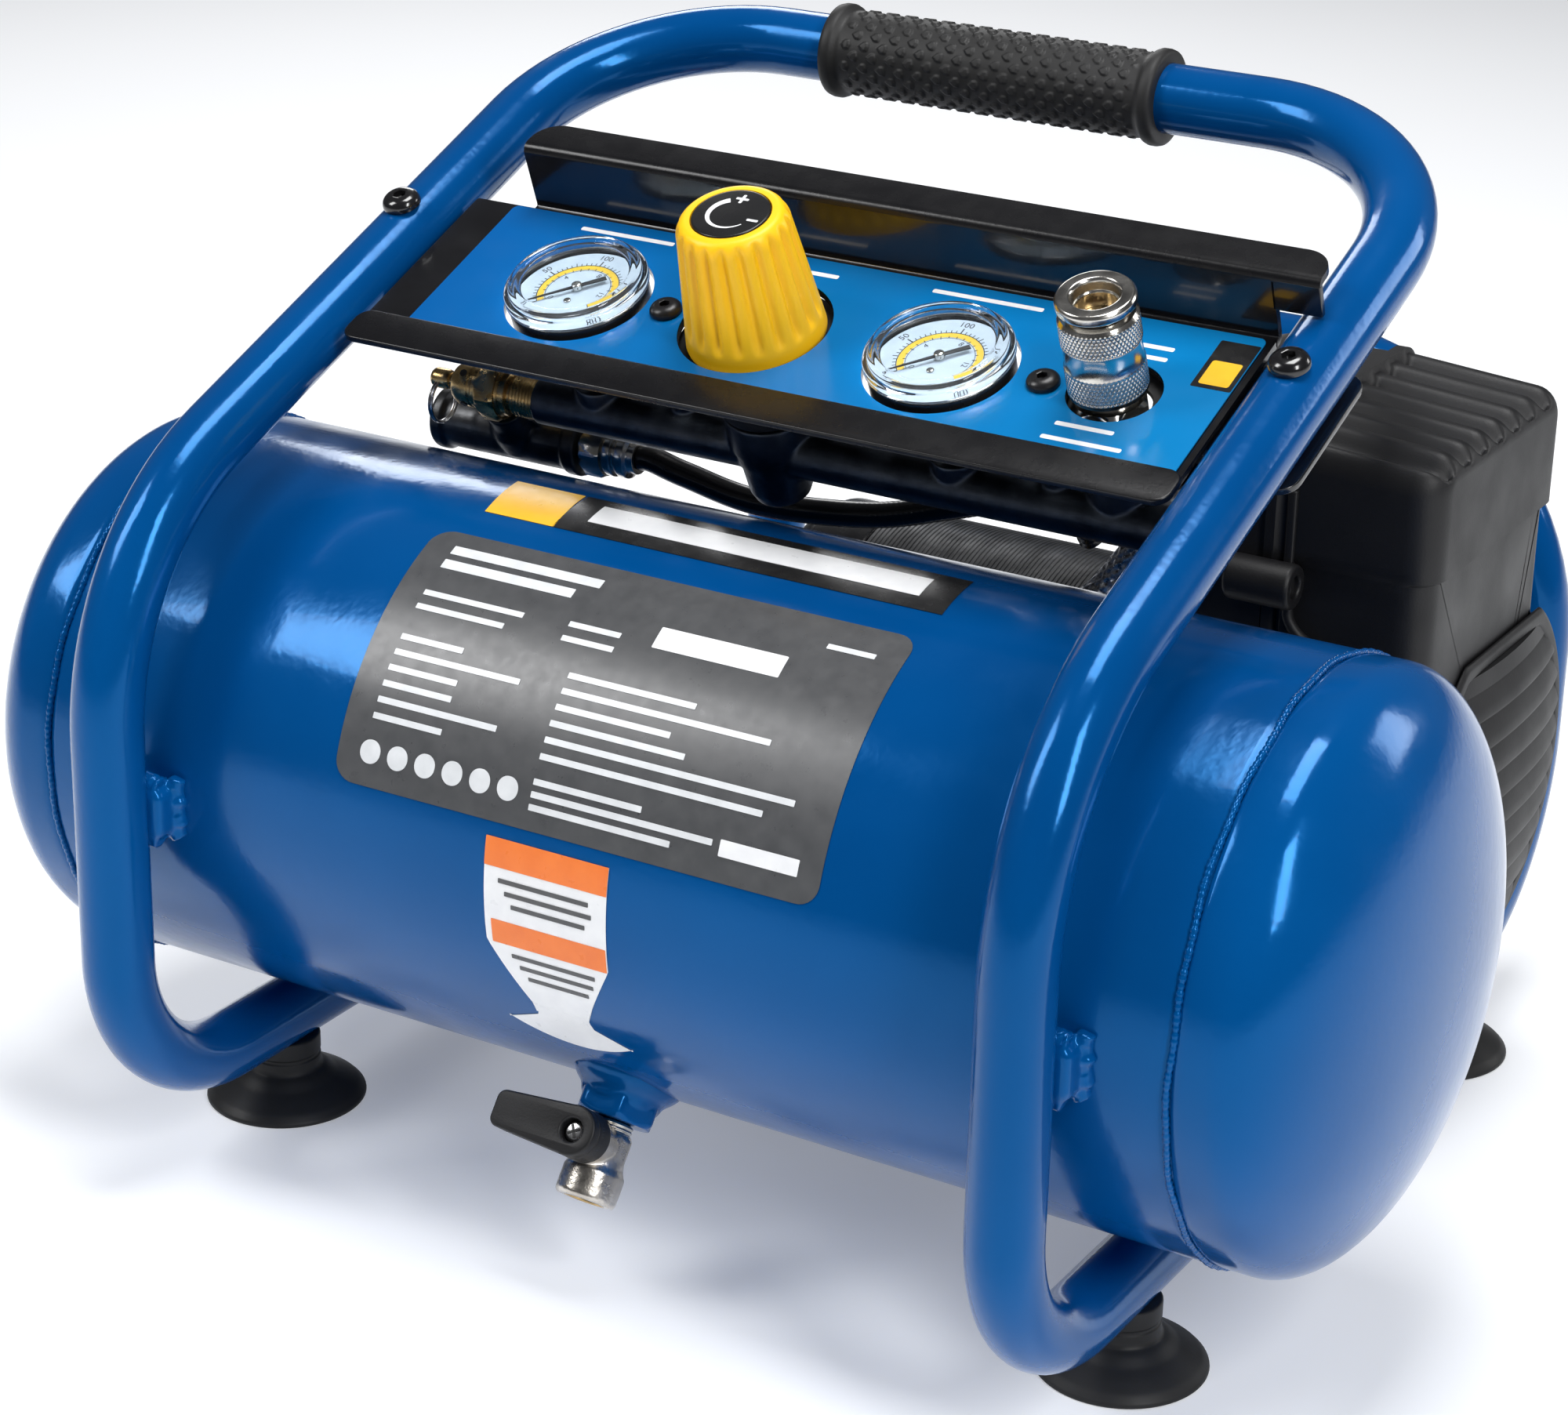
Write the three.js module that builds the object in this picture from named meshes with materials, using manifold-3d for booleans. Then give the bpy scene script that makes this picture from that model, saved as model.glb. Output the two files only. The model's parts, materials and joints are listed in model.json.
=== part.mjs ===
// Portable electric air compressor: a welded tank inside a bent-tube roll cage, with a control
// panel over the tank and a motor, pump and cooling fan behind it.
// Millimetres, +X to the user's right, +Y to the back, +Z up, floor at Z = 0.
import * as THREE from "three";
import { mergeVertices } from "three/addons/utils/BufferGeometryUtils.js";
import Module from "manifold-3d";

const wasm = await Module();
wasm.setup();

// Driving dimensions
const GAP = 0.3; // between pieces that touch
const TANK_SIDES = 28; // facets round the tank

// Roll cage
const TUBE_R = 10;
const TUBE_WALL = 1.6;
const HALF_TRACK = 138.4; // centreline of each side, from the middle
const FRONT_Y = -176; // centreline of the front uprights
const REAR_Y = 176; // centreline of the rear uprights
const RAIL_Z = 27.3; // centreline of the bottom rails
const KNEE_Z = 191.9; // where the front upright's line meets the slanted run's
const HANDLE_Y = 75;
const HANDLE_Z = 292.9;
const REAR_BAR_Z = 195;
const BEND = { handle: 60, knee: 80, frontFoot: 46, rearFoot: 57, rearBar: 82 };
const GRIP = { left: -60.5, right: 48, r: 12.6, lip: 13.9 };

// Tank
const TANK_Y = -82;
const TANK_Z = 117.8;
const TANK_R = 80;
const TANK_WALL = 2.5;
const TANK_SEAM = 182; // from the middle to each head seam
const TANK_HALF = 213.4; // from the middle to each end
const DRAIN_ANGLE = 0.663; // lean of the drain towards the front, in radians

// Feet
const FOOT_Y = [-104, 112.4];
const FOOT_R = 23.7;

// Control panel, measured along the slanted tubes (s) and square to them (n)
const SLANT = Math.atan2(HANDLE_Z - KNEE_Z, HANDLE_Y - FRONT_Y);
const PANEL = { front: 107.3, rear: 171.8, half: 126, top: 2.1, sheet: 2 };
const FRONT_LIP = { left: -124, right: 129, reach: 11, top: 6.5 };
const REAR_WALL = { left: -106, right: 139, height: 22.5, lip: 12.3 };
const GAUGE_X = [-69.3, 45.1];
const GAUGE_S = 136;
const GAUGE_R = 20.5;
const GAUGE_RIM = 4.6; // top of the black case above the tubes' plane
const KNOB = { x: -13, s: 137.5, base: 19.5, top: 15.6, height: 39 };
const COUPLER = { x: 93.3, s: 138.2, r: 10.7, top: 33.5 };
const BOLT_S = 152;
const SCREWS = [[-40.6, 136], [75.4, 136]];
const MANIFOLD = { left: -90, right: 112, s: 134, n: -36.6, r: 7.2 };

// Motor, pump and cooling fan share one axis along X
const AXIS_Y = 85;
const AXIS_Z = 103;
const SHAFT_R = 5;
const MOTOR = { left: -70, right: 77.7, r: 44 };
const PUMP_X = 96;
const CRANKCASE = { left: 78, right: 112, half: 28 };
const THROW = 4;
const SHROUD = { right: 160, seam: 110, left: 71, front: 21, back: 117, top: 221, wall: 3 };
const GUARD_R = 55;
const PLATE = { half: 142, front: 50, back: 116, z: 37.7, sheet: 3 };

const COLOURS = {
  blue: { color: 0x0b4fae, roughness: 0.25, metalness: 0.1 },
  label: { color: 0x1f7fd0, roughness: 0.35, metalness: 0 },
  black: { color: 0x101114, roughness: 0.25, metalness: 0.1 },
  plastic: { color: 0x1b1c1e, roughness: 0.6, metalness: 0 },
  rubber: { color: 0x17181a, roughness: 0.85, metalness: 0 },
  yellow: { color: 0xf2b80c, roughness: 0.45, metalness: 0 },
  nickel: { color: 0xb9b4aa, roughness: 0.25, metalness: 1 },
  brass: { color: 0xb08a4a, roughness: 0.3, metalness: 1 },
  steel: { color: 0x9a9ca0, roughness: 0.35, metalness: 1 },
  cast: { color: 0x3c434d, roughness: 0.5, metalness: 0.7 },
  aluminium: { color: 0xa7abb0, roughness: 0.45, metalness: 1 },
  white: { color: 0xf1f1ee, roughness: 0.6, metalness: 0 },
  clear: { color: 0xdfe6ea, roughness: 0.05, metalness: 0 },
  red: { color: 0xb3201c, roughness: 0.4, metalness: 0 },
};

// Geometry helpers

// The surface with shared corners merged, slivers dropped and faces pointing out.
function closedSurface(geometry) {
  const bare = geometry.index ? geometry.toNonIndexed() : geometry.clone();
  bare.deleteAttribute("normal");
  bare.deleteAttribute("uv");
  const merged = mergeVertices(bare, 1e-4);
  const at = merged.attributes.position;
  const corners = merged.index.array;
  const kept = [];
  const p = new THREE.Vector3();
  const q = new THREE.Vector3();
  const r = new THREE.Vector3();
  let volume = 0;
  for (let i = 0; i < corners.length; i += 3) {
    const [a, b, c] = corners.slice(i, i + 3);
    if (a === b || b === c || c === a) continue;
    kept.push(a, b, c);
    const wedge = q.fromBufferAttribute(at, b).cross(r.fromBufferAttribute(at, c));
    volume += p.fromBufferAttribute(at, a).dot(wedge);
  }
  merged.setIndex(volume < 0 ? kept.reverse() : kept);
  return merged;
}

function toSolid(geometry) {
  const surface = closedSurface(geometry);
  return new wasm.Manifold(new wasm.Mesh({
    numProp: 3,
    vertProperties: new Float32Array(surface.attributes.position.array),
    triVerts: new Uint32Array(surface.index.array),
  }));
}

function toGeometry(solid) {
  const mesh = solid.getMesh();
  const geometry = new THREE.BufferGeometry();
  geometry.setAttribute("position", new THREE.BufferAttribute(new Float32Array(mesh.vertProperties), 3));
  geometry.setIndex(new THREE.BufferAttribute(new Uint32Array(mesh.triVerts), 1));
  return geometry;
}

function join(...geometries) {
  return toGeometry(geometries.map(toSolid).reduce((whole, next) => whole.add(next)));
}

function cut(geometry, ...tools) {
  return toGeometry(tools.map(toSolid).reduce((whole, tool) => whole.subtract(tool), toSolid(geometry)));
}

// A turned shape about Z from [radius, height] pairs.
function turned(profile, sides = 16) {
  const points = profile.map(([radius, height]) => new THREE.Vector2(radius, height));
  return new THREE.LatheGeometry(points, sides).rotateX(Math.PI / 2);
}

// A ring about Z: the profile is closed on itself.
function ring(inner, outer, low, high, sides = 16) {
  return turned([[inner, low], [outer, low], [outer, high], [inner, high], [inner, low]], sides);
}

function rod(radius, low, high, sides = 12) {
  return turned([[0, low], [radius, low], [radius, high], [0, high]], sides);
}

// A hexagonal prism about Z, measured to its corners.
function hexagon(radius, low, high) {
  return rod(radius, low, high, 6);
}

function block(x0, x1, y0, y1, z0, z1) {
  const box = new THREE.BoxGeometry(x1 - x0, y1 - y0, z1 - z0);
  return box.translate((x0 + x1) / 2, (y0 + y1) / 2, (z0 + z1) / 2);
}

// Turns a shape made about Z so that its Z runs along +X.
function alongX(geometry) {
  return geometry.rotateY(Math.PI / 2);
}

// Turns a shape made about Z so that its Z runs along the given direction, then puts it at a point.
function aimed(geometry, direction, origin) {
  const up = new THREE.Vector3(0, 0, 1);
  const turn = new THREE.Quaternion().setFromUnitVectors(up, direction.clone().normalize());
  return geometry.applyQuaternion(turn).translate(origin.x, origin.y, origin.z);
}

// A path given by its own points: one step on a straight run, several on a bend.
class PointPath extends THREE.Curve {
  constructor(points) {
    super();
    this.points = points;
  }

  getSpacedPoints() {
    return this.points;
  }

  getTangentAt(share, target = new THREE.Vector3()) {
    const last = this.points.length - 1;
    const here = Math.round(share * last);
    const before = this.points[Math.max(here - 1, 0)];
    const after = this.points[Math.min(here + 1, last)];
    return target.subVectors(after, before).normalize();
  }
}

// Straight runs between corners, each corner rounded by its bend radius.
function bentPath(corners, radii, stepsPerBend = 4) {
  const points = [corners[0]];
  for (let i = 1; i < corners.length - 1; i += 1) {
    const into = corners[i].clone().sub(corners[i - 1]).normalize();
    const out = corners[i + 1].clone().sub(corners[i]).normalize();
    const angle = into.angleTo(out);
    const reach = radii[i - 1] * Math.tan(angle / 2);
    const start = corners[i].clone().addScaledVector(into, -reach);
    const side = out.clone().addScaledVector(into, -Math.cos(angle)).normalize();
    const centre = start.clone().addScaledVector(side, radii[i - 1]);
    for (let k = 0; k <= stepsPerBend; k += 1) {
      const turn = (angle * k) / stepsPerBend;
      const spoke = side.clone().multiplyScalar(-Math.cos(turn)).addScaledVector(into, Math.sin(turn));
      points.push(centre.clone().addScaledVector(spoke, radii[i - 1]));
    }
  }
  points.push(corners[corners.length - 1]);
  return points;
}

function circle(radius, sides) {
  const shape = new THREE.Shape();
  for (let i = 0; i < sides; i += 1) {
    const turn = (2 * Math.PI * i) / sides;
    const move = i ? "lineTo" : "moveTo";
    shape[move](radius * Math.cos(turn), radius * Math.sin(turn));
  }
  shape.closePath();
  return shape;
}

function tubeAlong(points, radius, sides, bore = 0) {
  const section = circle(radius, sides);
  if (bore) section.holes.push(circle(bore, 6));
  return new THREE.ExtrudeGeometry(section, {
    steps: points.length - 1,
    extrudePath: new PointPath(points),
    bevelEnabled: false,
  });
}

// A hose through hand-placed points, smoothed into an even curve.
function hose(points, radius, steps, sides = 7) {
  const through = points.map(([x, y, z]) => new THREE.Vector3(x, y, z));
  const curve = new THREE.CatmullRomCurve3(through, false, "centripetal");
  return tubeAlong(curve.getSpacedPoints(steps), radius, sides);
}

function roundedBox(x0, x1, y0, y1, radius, corner = 4) {
  const shape = new THREE.Shape();
  const arcs = [[x1 - radius, y0 + radius, -90], [x1 - radius, y1 - radius, 0],
    [x0 + radius, y1 - radius, 90], [x0 + radius, y0 + radius, 180]];
  arcs.forEach(([cx, cy, from], side) => {
    for (let k = 0; k <= corner; k += 1) {
      const turn = ((from + (90 * k) / corner) * Math.PI) / 180;
      const move = side || k ? "lineTo" : "moveTo";
      shape[move](cx + radius * Math.cos(turn), cy + radius * Math.sin(turn));
    }
  });
  shape.closePath();
  return shape;
}

function slab(shape, low, high) {
  return new THREE.ExtrudeGeometry(shape, { depth: high - low, bevelEnabled: false }).translate(0, 0, low);
}

const object = new THREE.Group();
const panel = new THREE.Group(); // x, s and n of the control panel
panel.position.set(0, FRONT_Y, KNEE_Z);
panel.rotation.x = SLANT;
object.add(panel);

function add(name, geometry, colour, parent = object) {
  const mesh = new THREE.Mesh(closedSurface(geometry), new THREE.MeshStandardMaterial(COLOURS[colour]));
  mesh.name = name;
  parent.add(mesh);
}

// A point of the panel frame in the object's frame.
function panelPoint(x, s, n) {
  return new THREE.Vector3(x, s, n).applyAxisAngle(new THREE.Vector3(1, 0, 0), SLANT)
    .add(new THREE.Vector3(0, FRONT_Y, KNEE_Z));
}

function panelDirection(x, s, n) {
  return new THREE.Vector3(x, s, n).applyAxisAngle(new THREE.Vector3(1, 0, 0), SLANT);
}

// Roll cage

function cageHalf(side) {
  const x = side * HALF_TRACK;
  const middle = side * GAP;
  const corners = [
    [middle, HANDLE_Y, HANDLE_Z], [x, HANDLE_Y, HANDLE_Z], [x, FRONT_Y, KNEE_Z], [x, FRONT_Y, RAIL_Z],
    [x, REAR_Y, RAIL_Z], [x, REAR_Y, REAR_BAR_Z], [middle, REAR_Y, REAR_BAR_Z],
  ].map((corner) => new THREE.Vector3(...corner));
  const radii = [BEND.handle, BEND.knee, BEND.frontFoot, BEND.rearFoot, BEND.rearBar];
  const tube = tubeAlong(bentPath(corners, radii), TUBE_R, 10, TUBE_R - TUBE_WALL);
  const drill = rod(2.9, -TUBE_R - 3, TUBE_R + 3, 10);
  const boltHole = aimed(drill, panelDirection(0, 0, 1), panelPoint(x, BOLT_S, 0));
  return cut(tube, boltHole);
}

function handleGrip() {
  const bore = TUBE_R + GAP;
  return turned([
    [bore, 0], [GRIP.lip - 0.6, 0], [GRIP.lip, 1.2], [GRIP.lip, 3.6], [GRIP.r, 5.4],
    [GRIP.r, GRIP.right - GRIP.left - 5.4], [GRIP.lip, GRIP.right - GRIP.left - 3.6],
    [GRIP.lip, GRIP.right - GRIP.left - 1.2], [GRIP.lip - 0.6, GRIP.right - GRIP.left],
    [bore, GRIP.right - GRIP.left], [bore, 0],
  ], 20).rotateY(Math.PI / 2).translate(GRIP.left, HANDLE_Y, HANDLE_Z);
}

// Suction-cup foot: a neck under the rail that flares into a cup. Its stud runs up into the rail.
function foot(x, y) {
  const cup = turned([
    [0, 4.2], [9, 4], [19, 1.2], [21, 0], [FOOT_R, 0], [FOOT_R, 1.6], [20.5, 4.6], [14.5, 7.6],
    [10.6, 11], [10.4, RAIL_Z - TUBE_R + 4], [0, RAIL_Z - TUBE_R + 4],
  ], 16).translate(x, y, 0);
  const railBed = rod(TUBE_R + GAP, -30, 30, 16).rotateX(Math.PI / 2).translate(x, y, RAIL_Z);
  return cut(cup, railBed);
}

// Base plate across the two bottom rails, with a folded lip along its front and back.
function mountPlate() {
  const { half, front, back, z, sheet } = PLATE;
  const lipHalf = HALF_TRACK - TUBE_R - 2;
  return join(
    block(-half, half, front, back, z, z + sheet),
    block(-lipHalf, lipHalf, front, front + sheet, z - 12, z + sheet),
    block(-lipHalf, lipHalf, back - sheet, back, z - 12, z + sheet),
  );
}

// Tank

function headProfile(offset, steps) {
  const rise = TANK_HALF - TANK_SEAM - offset;
  const radius = TANK_R - offset;
  return Array.from({ length: steps + 1 }, (_, k) => {
    const turn = (Math.PI / 2) * (k / steps);
    return [radius * Math.cos(turn), rise * Math.sin(turn)];
  });
}

// Dished head whose skirt slips inside the shell.
function tankHead(side) {
  const skirt = TANK_R - TANK_WALL - GAP;
  const outer = headProfile(0, 6);
  const inner = headProfile(TANK_WALL, 4).reverse();
  inner[inner.length - 1][0] = skirt - TANK_WALL;
  const rim = [skirt - TANK_WALL, -12];
  const head = turned([rim, [skirt, -12], [skirt, 0], ...outer, ...inner, rim], TANK_SIDES);
  return head.rotateY((side * Math.PI) / 2).translate(side * (TANK_SEAM + GAP), TANK_Y, TANK_Z);
}

const BUNG_END = 90.5; // from the tank's axis
const drainAxis = new THREE.Vector3(0, -Math.sin(DRAIN_ANGLE), -Math.cos(DRAIN_ANGLE));
const tankCentre = new THREE.Vector3(0, TANK_Y, TANK_Z);
const portAxis = new THREE.Vector3(0, 0.883, 0.469).normalize();
const PORT_X = 64;

// A cylinder along the tank's axis, to trim what is welded on.
function tankBore(radius, half) {
  return alongX(rod(radius, -half, half, TANK_SIDES)).translate(0, TANK_Y, TANK_Z);
}

// Saddle welded to the tank and hollowed to the front upright that it carries.
function tankSaddle(side) {
  const x = side * HALF_TRACK;
  const upright = rod(TUBE_R + GAP, 60, 160, 24).translate(x, FRONT_Y, 0);
  const plate = block(x - 17, x + 17, FRONT_Y + 4, FRONT_Y + 17, TANK_Z - 12, TANK_Z + 10);
  return cut(plate, tankBore(TANK_R - 1, 200), upright);
}

// Flared hexagonal bung welded over the drain hole.
function drainBung() {
  const flare = turned([
    [5, TANK_R - 4], [14, TANK_R - 4], [13.4, TANK_R + 1.5], [11, TANK_R + 4], [10.8, TANK_R + 5],
    [5, TANK_R + 5], [5, TANK_R - 4],
  ]);
  const nut = cut(hexagon(11.6, TANK_R + 3, BUNG_END), rod(5, TANK_R, BUNG_END + 1));
  return cut(aimed(join(flare, nut), drainAxis, tankCentre), tankBore(TANK_R - 1, 40));
}

// Rolled shell with its drain hole and port, and the saddles and bung that are welded to it.
function tankShell() {
  const barrel = ring(TANK_R - TANK_WALL, TANK_R, -TANK_SEAM, TANK_SEAM, TANK_SIDES);
  const shell = alongX(barrel).translate(0, TANK_Y, TANK_Z);
  const welded = join(shell, tankSaddle(-1), tankSaddle(1), drainBung());
  const drainHole = aimed(rod(4.4, 60, 84, 12), drainAxis, tankCentre);
  const portHole = aimed(rod(5, 60, 90, 12), portAxis, tankCentre.clone().setX(PORT_X));
  return cut(welded, drainHole, portHole);
}

// Drain: a small ball valve in the tank's bung, with a quarter-turn lever.

const VALVE_END = 113.4;
const LEVER_AT = 98; // from the tank's axis to the lever's pivot
const stemAxis = new THREE.Vector3(0, drainAxis.z, -drainAxis.y);
const leverPivot = drainAxis.clone().multiplyScalar(LEVER_AT).add(tankCentre);

function drainValveBody() {
  const barrel = turned([
    [0, BUNG_END - 8], [4.6, BUNG_END - 8], [4.6, BUNG_END + GAP], [6.6, BUNG_END + GAP],
    [6.6, 100], [7, 102], [8.2, 105], [8.2, VALVE_END],
    [5.4, VALVE_END], [5.4, VALVE_END - 8], [0, VALVE_END - 8],
  ], 20);
  const boss = aimed(rod(6.2, 0, 9.5, 16), stemAxis, leverPivot);
  return join(aimed(barrel, drainAxis, tankCentre), boss);
}

// The lever is made with its pivot along Z and its arm along -X, then set on the valve's boss.
function drainLever() {
  const hub = rod(7, 9.8, 20, 20);
  const arm = slab(roundedBox(-25, 3, -5.6, 5.6, 3), 13.4, 20);
  const recess = rod(3.4, 16.4, 21, 14);
  return onStem(cut(join(hub, arm), recess));
}

function onStem(geometry) {
  const turn = new THREE.Matrix4().makeBasis(new THREE.Vector3(1, 0, 0), stemAxis.clone().cross(
    new THREE.Vector3(1, 0, 0)), stemAxis);
  return geometry.applyMatrix4(turn).translate(leverPivot.x, leverPivot.y, leverPivot.z);
}

// Control panel

function panelHoles() {
  return [
    ...GAUGE_X.map((x) => rod(21.3, -3, 6, 16).translate(x, GAUGE_S, 0)),
    rod(21.6, -3, 6, 20).translate(KNOB.x, KNOB.s, 0),
    rod(12.8, -3, 6, 16).translate(COUPLER.x + 1.5, COUPLER.s, 0),
    ...SCREWS.map(([x, s]) => rod(2.6, -3, 6, 10).translate(x, s, 0)),
  ];
}

// One folded sheet: top plate, raised front lip, rear wall with its lip, and a web and tab at each tube.
function panelBracket() {
  const { front, rear, half, top, sheet } = PANEL;
  const wall = REAR_WALL;
  const lip = FRONT_LIP;
  const low = top - sheet;
  const tab = -TUBE_R - 0.6;
  const overTube = TUBE_R + 1;
  const pieces = [
    slab(roundedBox(-half, half, front, rear, 1), low, top),
    block(lip.left, half, front, front + sheet, low, lip.top),
    slab(roundedBox(lip.left, lip.right, front - lip.reach, front + sheet, 3), lip.top - sheet, lip.top),
    block(wall.left, half, rear - 1, rear + sheet, low, wall.height),
    block(half - 1, wall.right, rear, rear + sheet, overTube, wall.height),
    block(wall.left, wall.right, rear, rear + sheet + wall.lip, wall.height - sheet, wall.height),
  ];
  for (const side of [-1, 1]) {
    const inner = side * (half - sheet);
    const [x0, x1] = [inner, side * half].sort((a, b) => a - b);
    const [t0, t1] = [inner, side * (half + 21.5)].sort((a, b) => a - b);
    pieces.push(block(x0, x1, 127, 168, tab - sheet, low + 0.5), block(t0, t1, 128, 178, tab - sheet, tab));
  }
  const boltHoles = [-1, 1].map((side) => rod(2.9, -20, 0, 10).translate(side * HALF_TRACK, BOLT_S, 0));
  return cut(join(...pieces), ...panelHoles(), ...boltHoles);
}

function panelLabel() {
  const low = PANEL.top + GAP;
  return cut(slab(roundedBox(-112, 124, 109.8, 169.5, 2), low, low + 0.4), ...panelHoles());
}

// Button-head bolt with its shank down through a tube and the tab below it.
function panelBolt(side) {
  const head = TUBE_R + GAP;
  return turned([
    [0, -16], [2.4, -16], [2.4, head], [5.6, head], [5.4, head + 1.4], [4, head + 3],
    [1.6, head + 3.2], [1.6, head + 1.2], [0, head + 1.2],
  ], 16).translate(side * HALF_TRACK, BOLT_S, 0);
}

function panelScrew([x, s]) {
  const head = PANEL.top + 2 * GAP + 0.4;
  return turned([
    [0, -12], [2.1, -12], [2.1, head], [4.4, head], [4.2, head + 1.2], [3, head + 2.4],
    [1.3, head + 2.5], [1.3, head + 0.9], [0, head + 0.9],
  ], 14).translate(x, s, 0);
}

// Gauges: a black case on a stem, a printed dial, a needle and a clear cap.

function gaugeCase(x) {
  return turned([
    [0, MANIFOLD.n + 10.3], [5, MANIFOLD.n + 10.3], [5, -12], [18.5, -12], [19.5, -11], [19.5, GAUGE_RIM],
    [18.6, GAUGE_RIM], [18.6, GAUGE_RIM - 1.8], [0, GAUGE_RIM - 1.8],
  ], 16).translate(x, GAUGE_S, 0);
}

function gaugeDial(x) {
  return rod(18.1, GAUGE_RIM - 1.5, GAUGE_RIM - 0.9, 16).translate(x, GAUGE_S, 0);
}

// The needle is stored on its zero mark, to the lower left of the pivot.
const ZERO_MARK = THREE.MathUtils.degToRad(222);

function gaugeNeedle(x) {
  const pointer = block(-4.5, 14.5, -0.6, 0.6, GAUGE_RIM + 0.2, GAUGE_RIM + 0.8);
  const hub = rod(2, GAUGE_RIM - 0.5, GAUGE_RIM + 1.6, 12);
  return join(pointer, hub).rotateZ(ZERO_MARK).translate(x, GAUGE_S, 0);
}

function gaugeLens(x) {
  const rim = GAUGE_RIM;
  return turned([
    [0, rim + 3.4], [17.4, rim + 3.4], [18.4, rim + 2.8], [18.4, rim + GAP], [GAUGE_R, rim + GAP],
    [GAUGE_R, rim + 3.6], [19.2, rim + 4.8], [0, rim + 5.4],
  ], 16).translate(x, GAUGE_S, 0);
}

// Pressure regulator: the knob is a deep cap over the regulator's bonnet.

function regulatorKnob() {
  const { base, top, height, x, s } = KNOB;
  return turned([
    [0, 34], [12.6, 34], [12.6, -1], [base - 0.5, -1], [base, 0.6], [top, height - 3.5], [top - 2.2, height],
    [11.6, height], [11.6, height - 1.4], [0, height - 1.4],
  ], 16).translate(x, s, 0);
}

function knobCap() {
  return rod(11.2, KNOB.height - 1.1, KNOB.height + 0.3, 18).translate(KNOB.x, KNOB.s, 0);
}

function regulatorBonnet() {
  return turned([
    [0, -23.7], [14, -23.7], [14, -5], [10, -3], [10, 31], [8, 32.5], [0, 32.5],
  ], 16).translate(KNOB.x, KNOB.s, 0);
}

// Quick coupler: a hexagon-based body with a mouth, and a sprung sleeve that slides down it.

function couplerBody() {
  const { x, s, r, top } = COUPLER;
  const body = turned([
    [0, -23.7], [9, -23.7], [9, -8.6], [7.6, -8], [7.6, 29.8], [r, 30.2], [r, top - 0.8], [r - 0.8, top],
    [6.6, top], [5.8, top - 1.2], [5.8, 4], [0, 4],
  ], 16);
  return join(body, cut(hexagon(11, -8.6, 1.3), rod(7, -20, 4))).translate(x, s, 0);
}

function couplerSleeve() {
  const { x, s, r } = COUPLER;
  return turned([
    [7.9, 3.7], [r - 0.6, 3.7], [r, 4.5], [r, 13], [r - 0.3, 13.4], [r - 0.3, 19.2], [r, 19.6], [r, 27],
    [r - 0.8, 28], [7.9, 28], [7.9, 3.7],
  ], 16).translate(x, s, 0);
}

// Cast manifold under the panel, with a boss for everything that screws into it.
function manifold() {
  const { left, right, s, n, r } = MANIFOLD;
  const barrel = alongX(rod(r, left, right, 20)).translate(0, s, n);
  const bosses = [
    ...GAUGE_X.map((x) => rod(7.6, n, n + 10, 16).translate(x, GAUGE_S, 0)),
    rod(14, n - 2, -24, 20).translate(KNOB.x, KNOB.s, 0),
    turned([[0, n - 16], [8, n - 16], [9.6, n - 13], [10.6, n], [0, n]], 20).translate(KNOB.x, s, 0),
    rod(9.4, n - 4, -24, 14).translate(COUPLER.x, COUPLER.s, 0),
    block(COUPLER.x - 9, COUPLER.x + 9, s, COUPLER.s, n - 4, n + 5),
    ...SCREWS.map(([x, along]) => rod(4.4, n, -6.5, 12).translate(x, along, 0)),
  ];
  const threads = SCREWS.map(([x, along]) => rod(2.4, -14, 0, 10).translate(x, along, 0));
  return cut(join(barrel, ...bosses), ...threads);
}

// Safety valve, screwed into the manifold's left end. Its axis runs along -X.

const VALVE_X = MANIFOLD.left - GAP;
const RING_HOLE_X = VALVE_X - 35;
const valveCentre = panelPoint(0, MANIFOLD.s, MANIFOLD.n);

function towardsLeft(geometry, x = VALVE_X) {
  return geometry.rotateY(-Math.PI / 2).translate(x, valveCentre.y, valveCentre.z);
}

function safetyValveBody() {
  const shell = turned([
    [0, 0], [6.4, 0], [6.4, 9], [7.4, 10], [7.4, 19], [6.6, 20], [6.6, 27], [5.4, 28.5],
    [2.2, 28.5], [2.2, 16], [0, 16],
  ], 18);
  return towardsLeft(join(shell, cut(hexagon(9, 12, 19), rod(6, 0, 30))));
}

function safetyValveStem() {
  const stem = turned([[0, 19], [1.8, 19], [1.8, 31.5], [3, 32], [3, 38], [0, 38]], 14);
  const eye = rod(1.75, -6, 6, 14).rotateX(Math.PI / 2).translate(0, 0, 35);
  return towardsLeft(cut(stem, eye));
}

const RING_R = 6.5;

function safetyValveRing() {
  return new THREE.TorusGeometry(RING_R, 0.75, 6, 16).rotateY(Math.PI / 2)
    .translate(RING_HOLE_X, valveCentre.y, valveCentre.z - RING_R);
}

// Unloader valve below the safety valve, its hose, and the check valve on the tank.

const UNLOADER = { left: -137, right: -86, y: -21, z: 190 };

function unloaderValve() {
  const { left, right, y, z } = UNLOADER;
  const barrel = alongX(turned([
    [0, left], [8, left], [9.2, left + 1], [9.2, left + 4], [8.2, left + 5], [8.2, right - 5],
    [9, right - 4], [9, right], [0, right],
  ], 20)).translate(0, y, z);
  const centre = new THREE.Vector3(-108, y, z);
  const up = new THREE.Vector3(0, valveCentre.y - y, valveCentre.z - z);
  return join(barrel, aimed(rod(6.4, 0, up.length() - 9.6, 16), up, centre));
}

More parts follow.
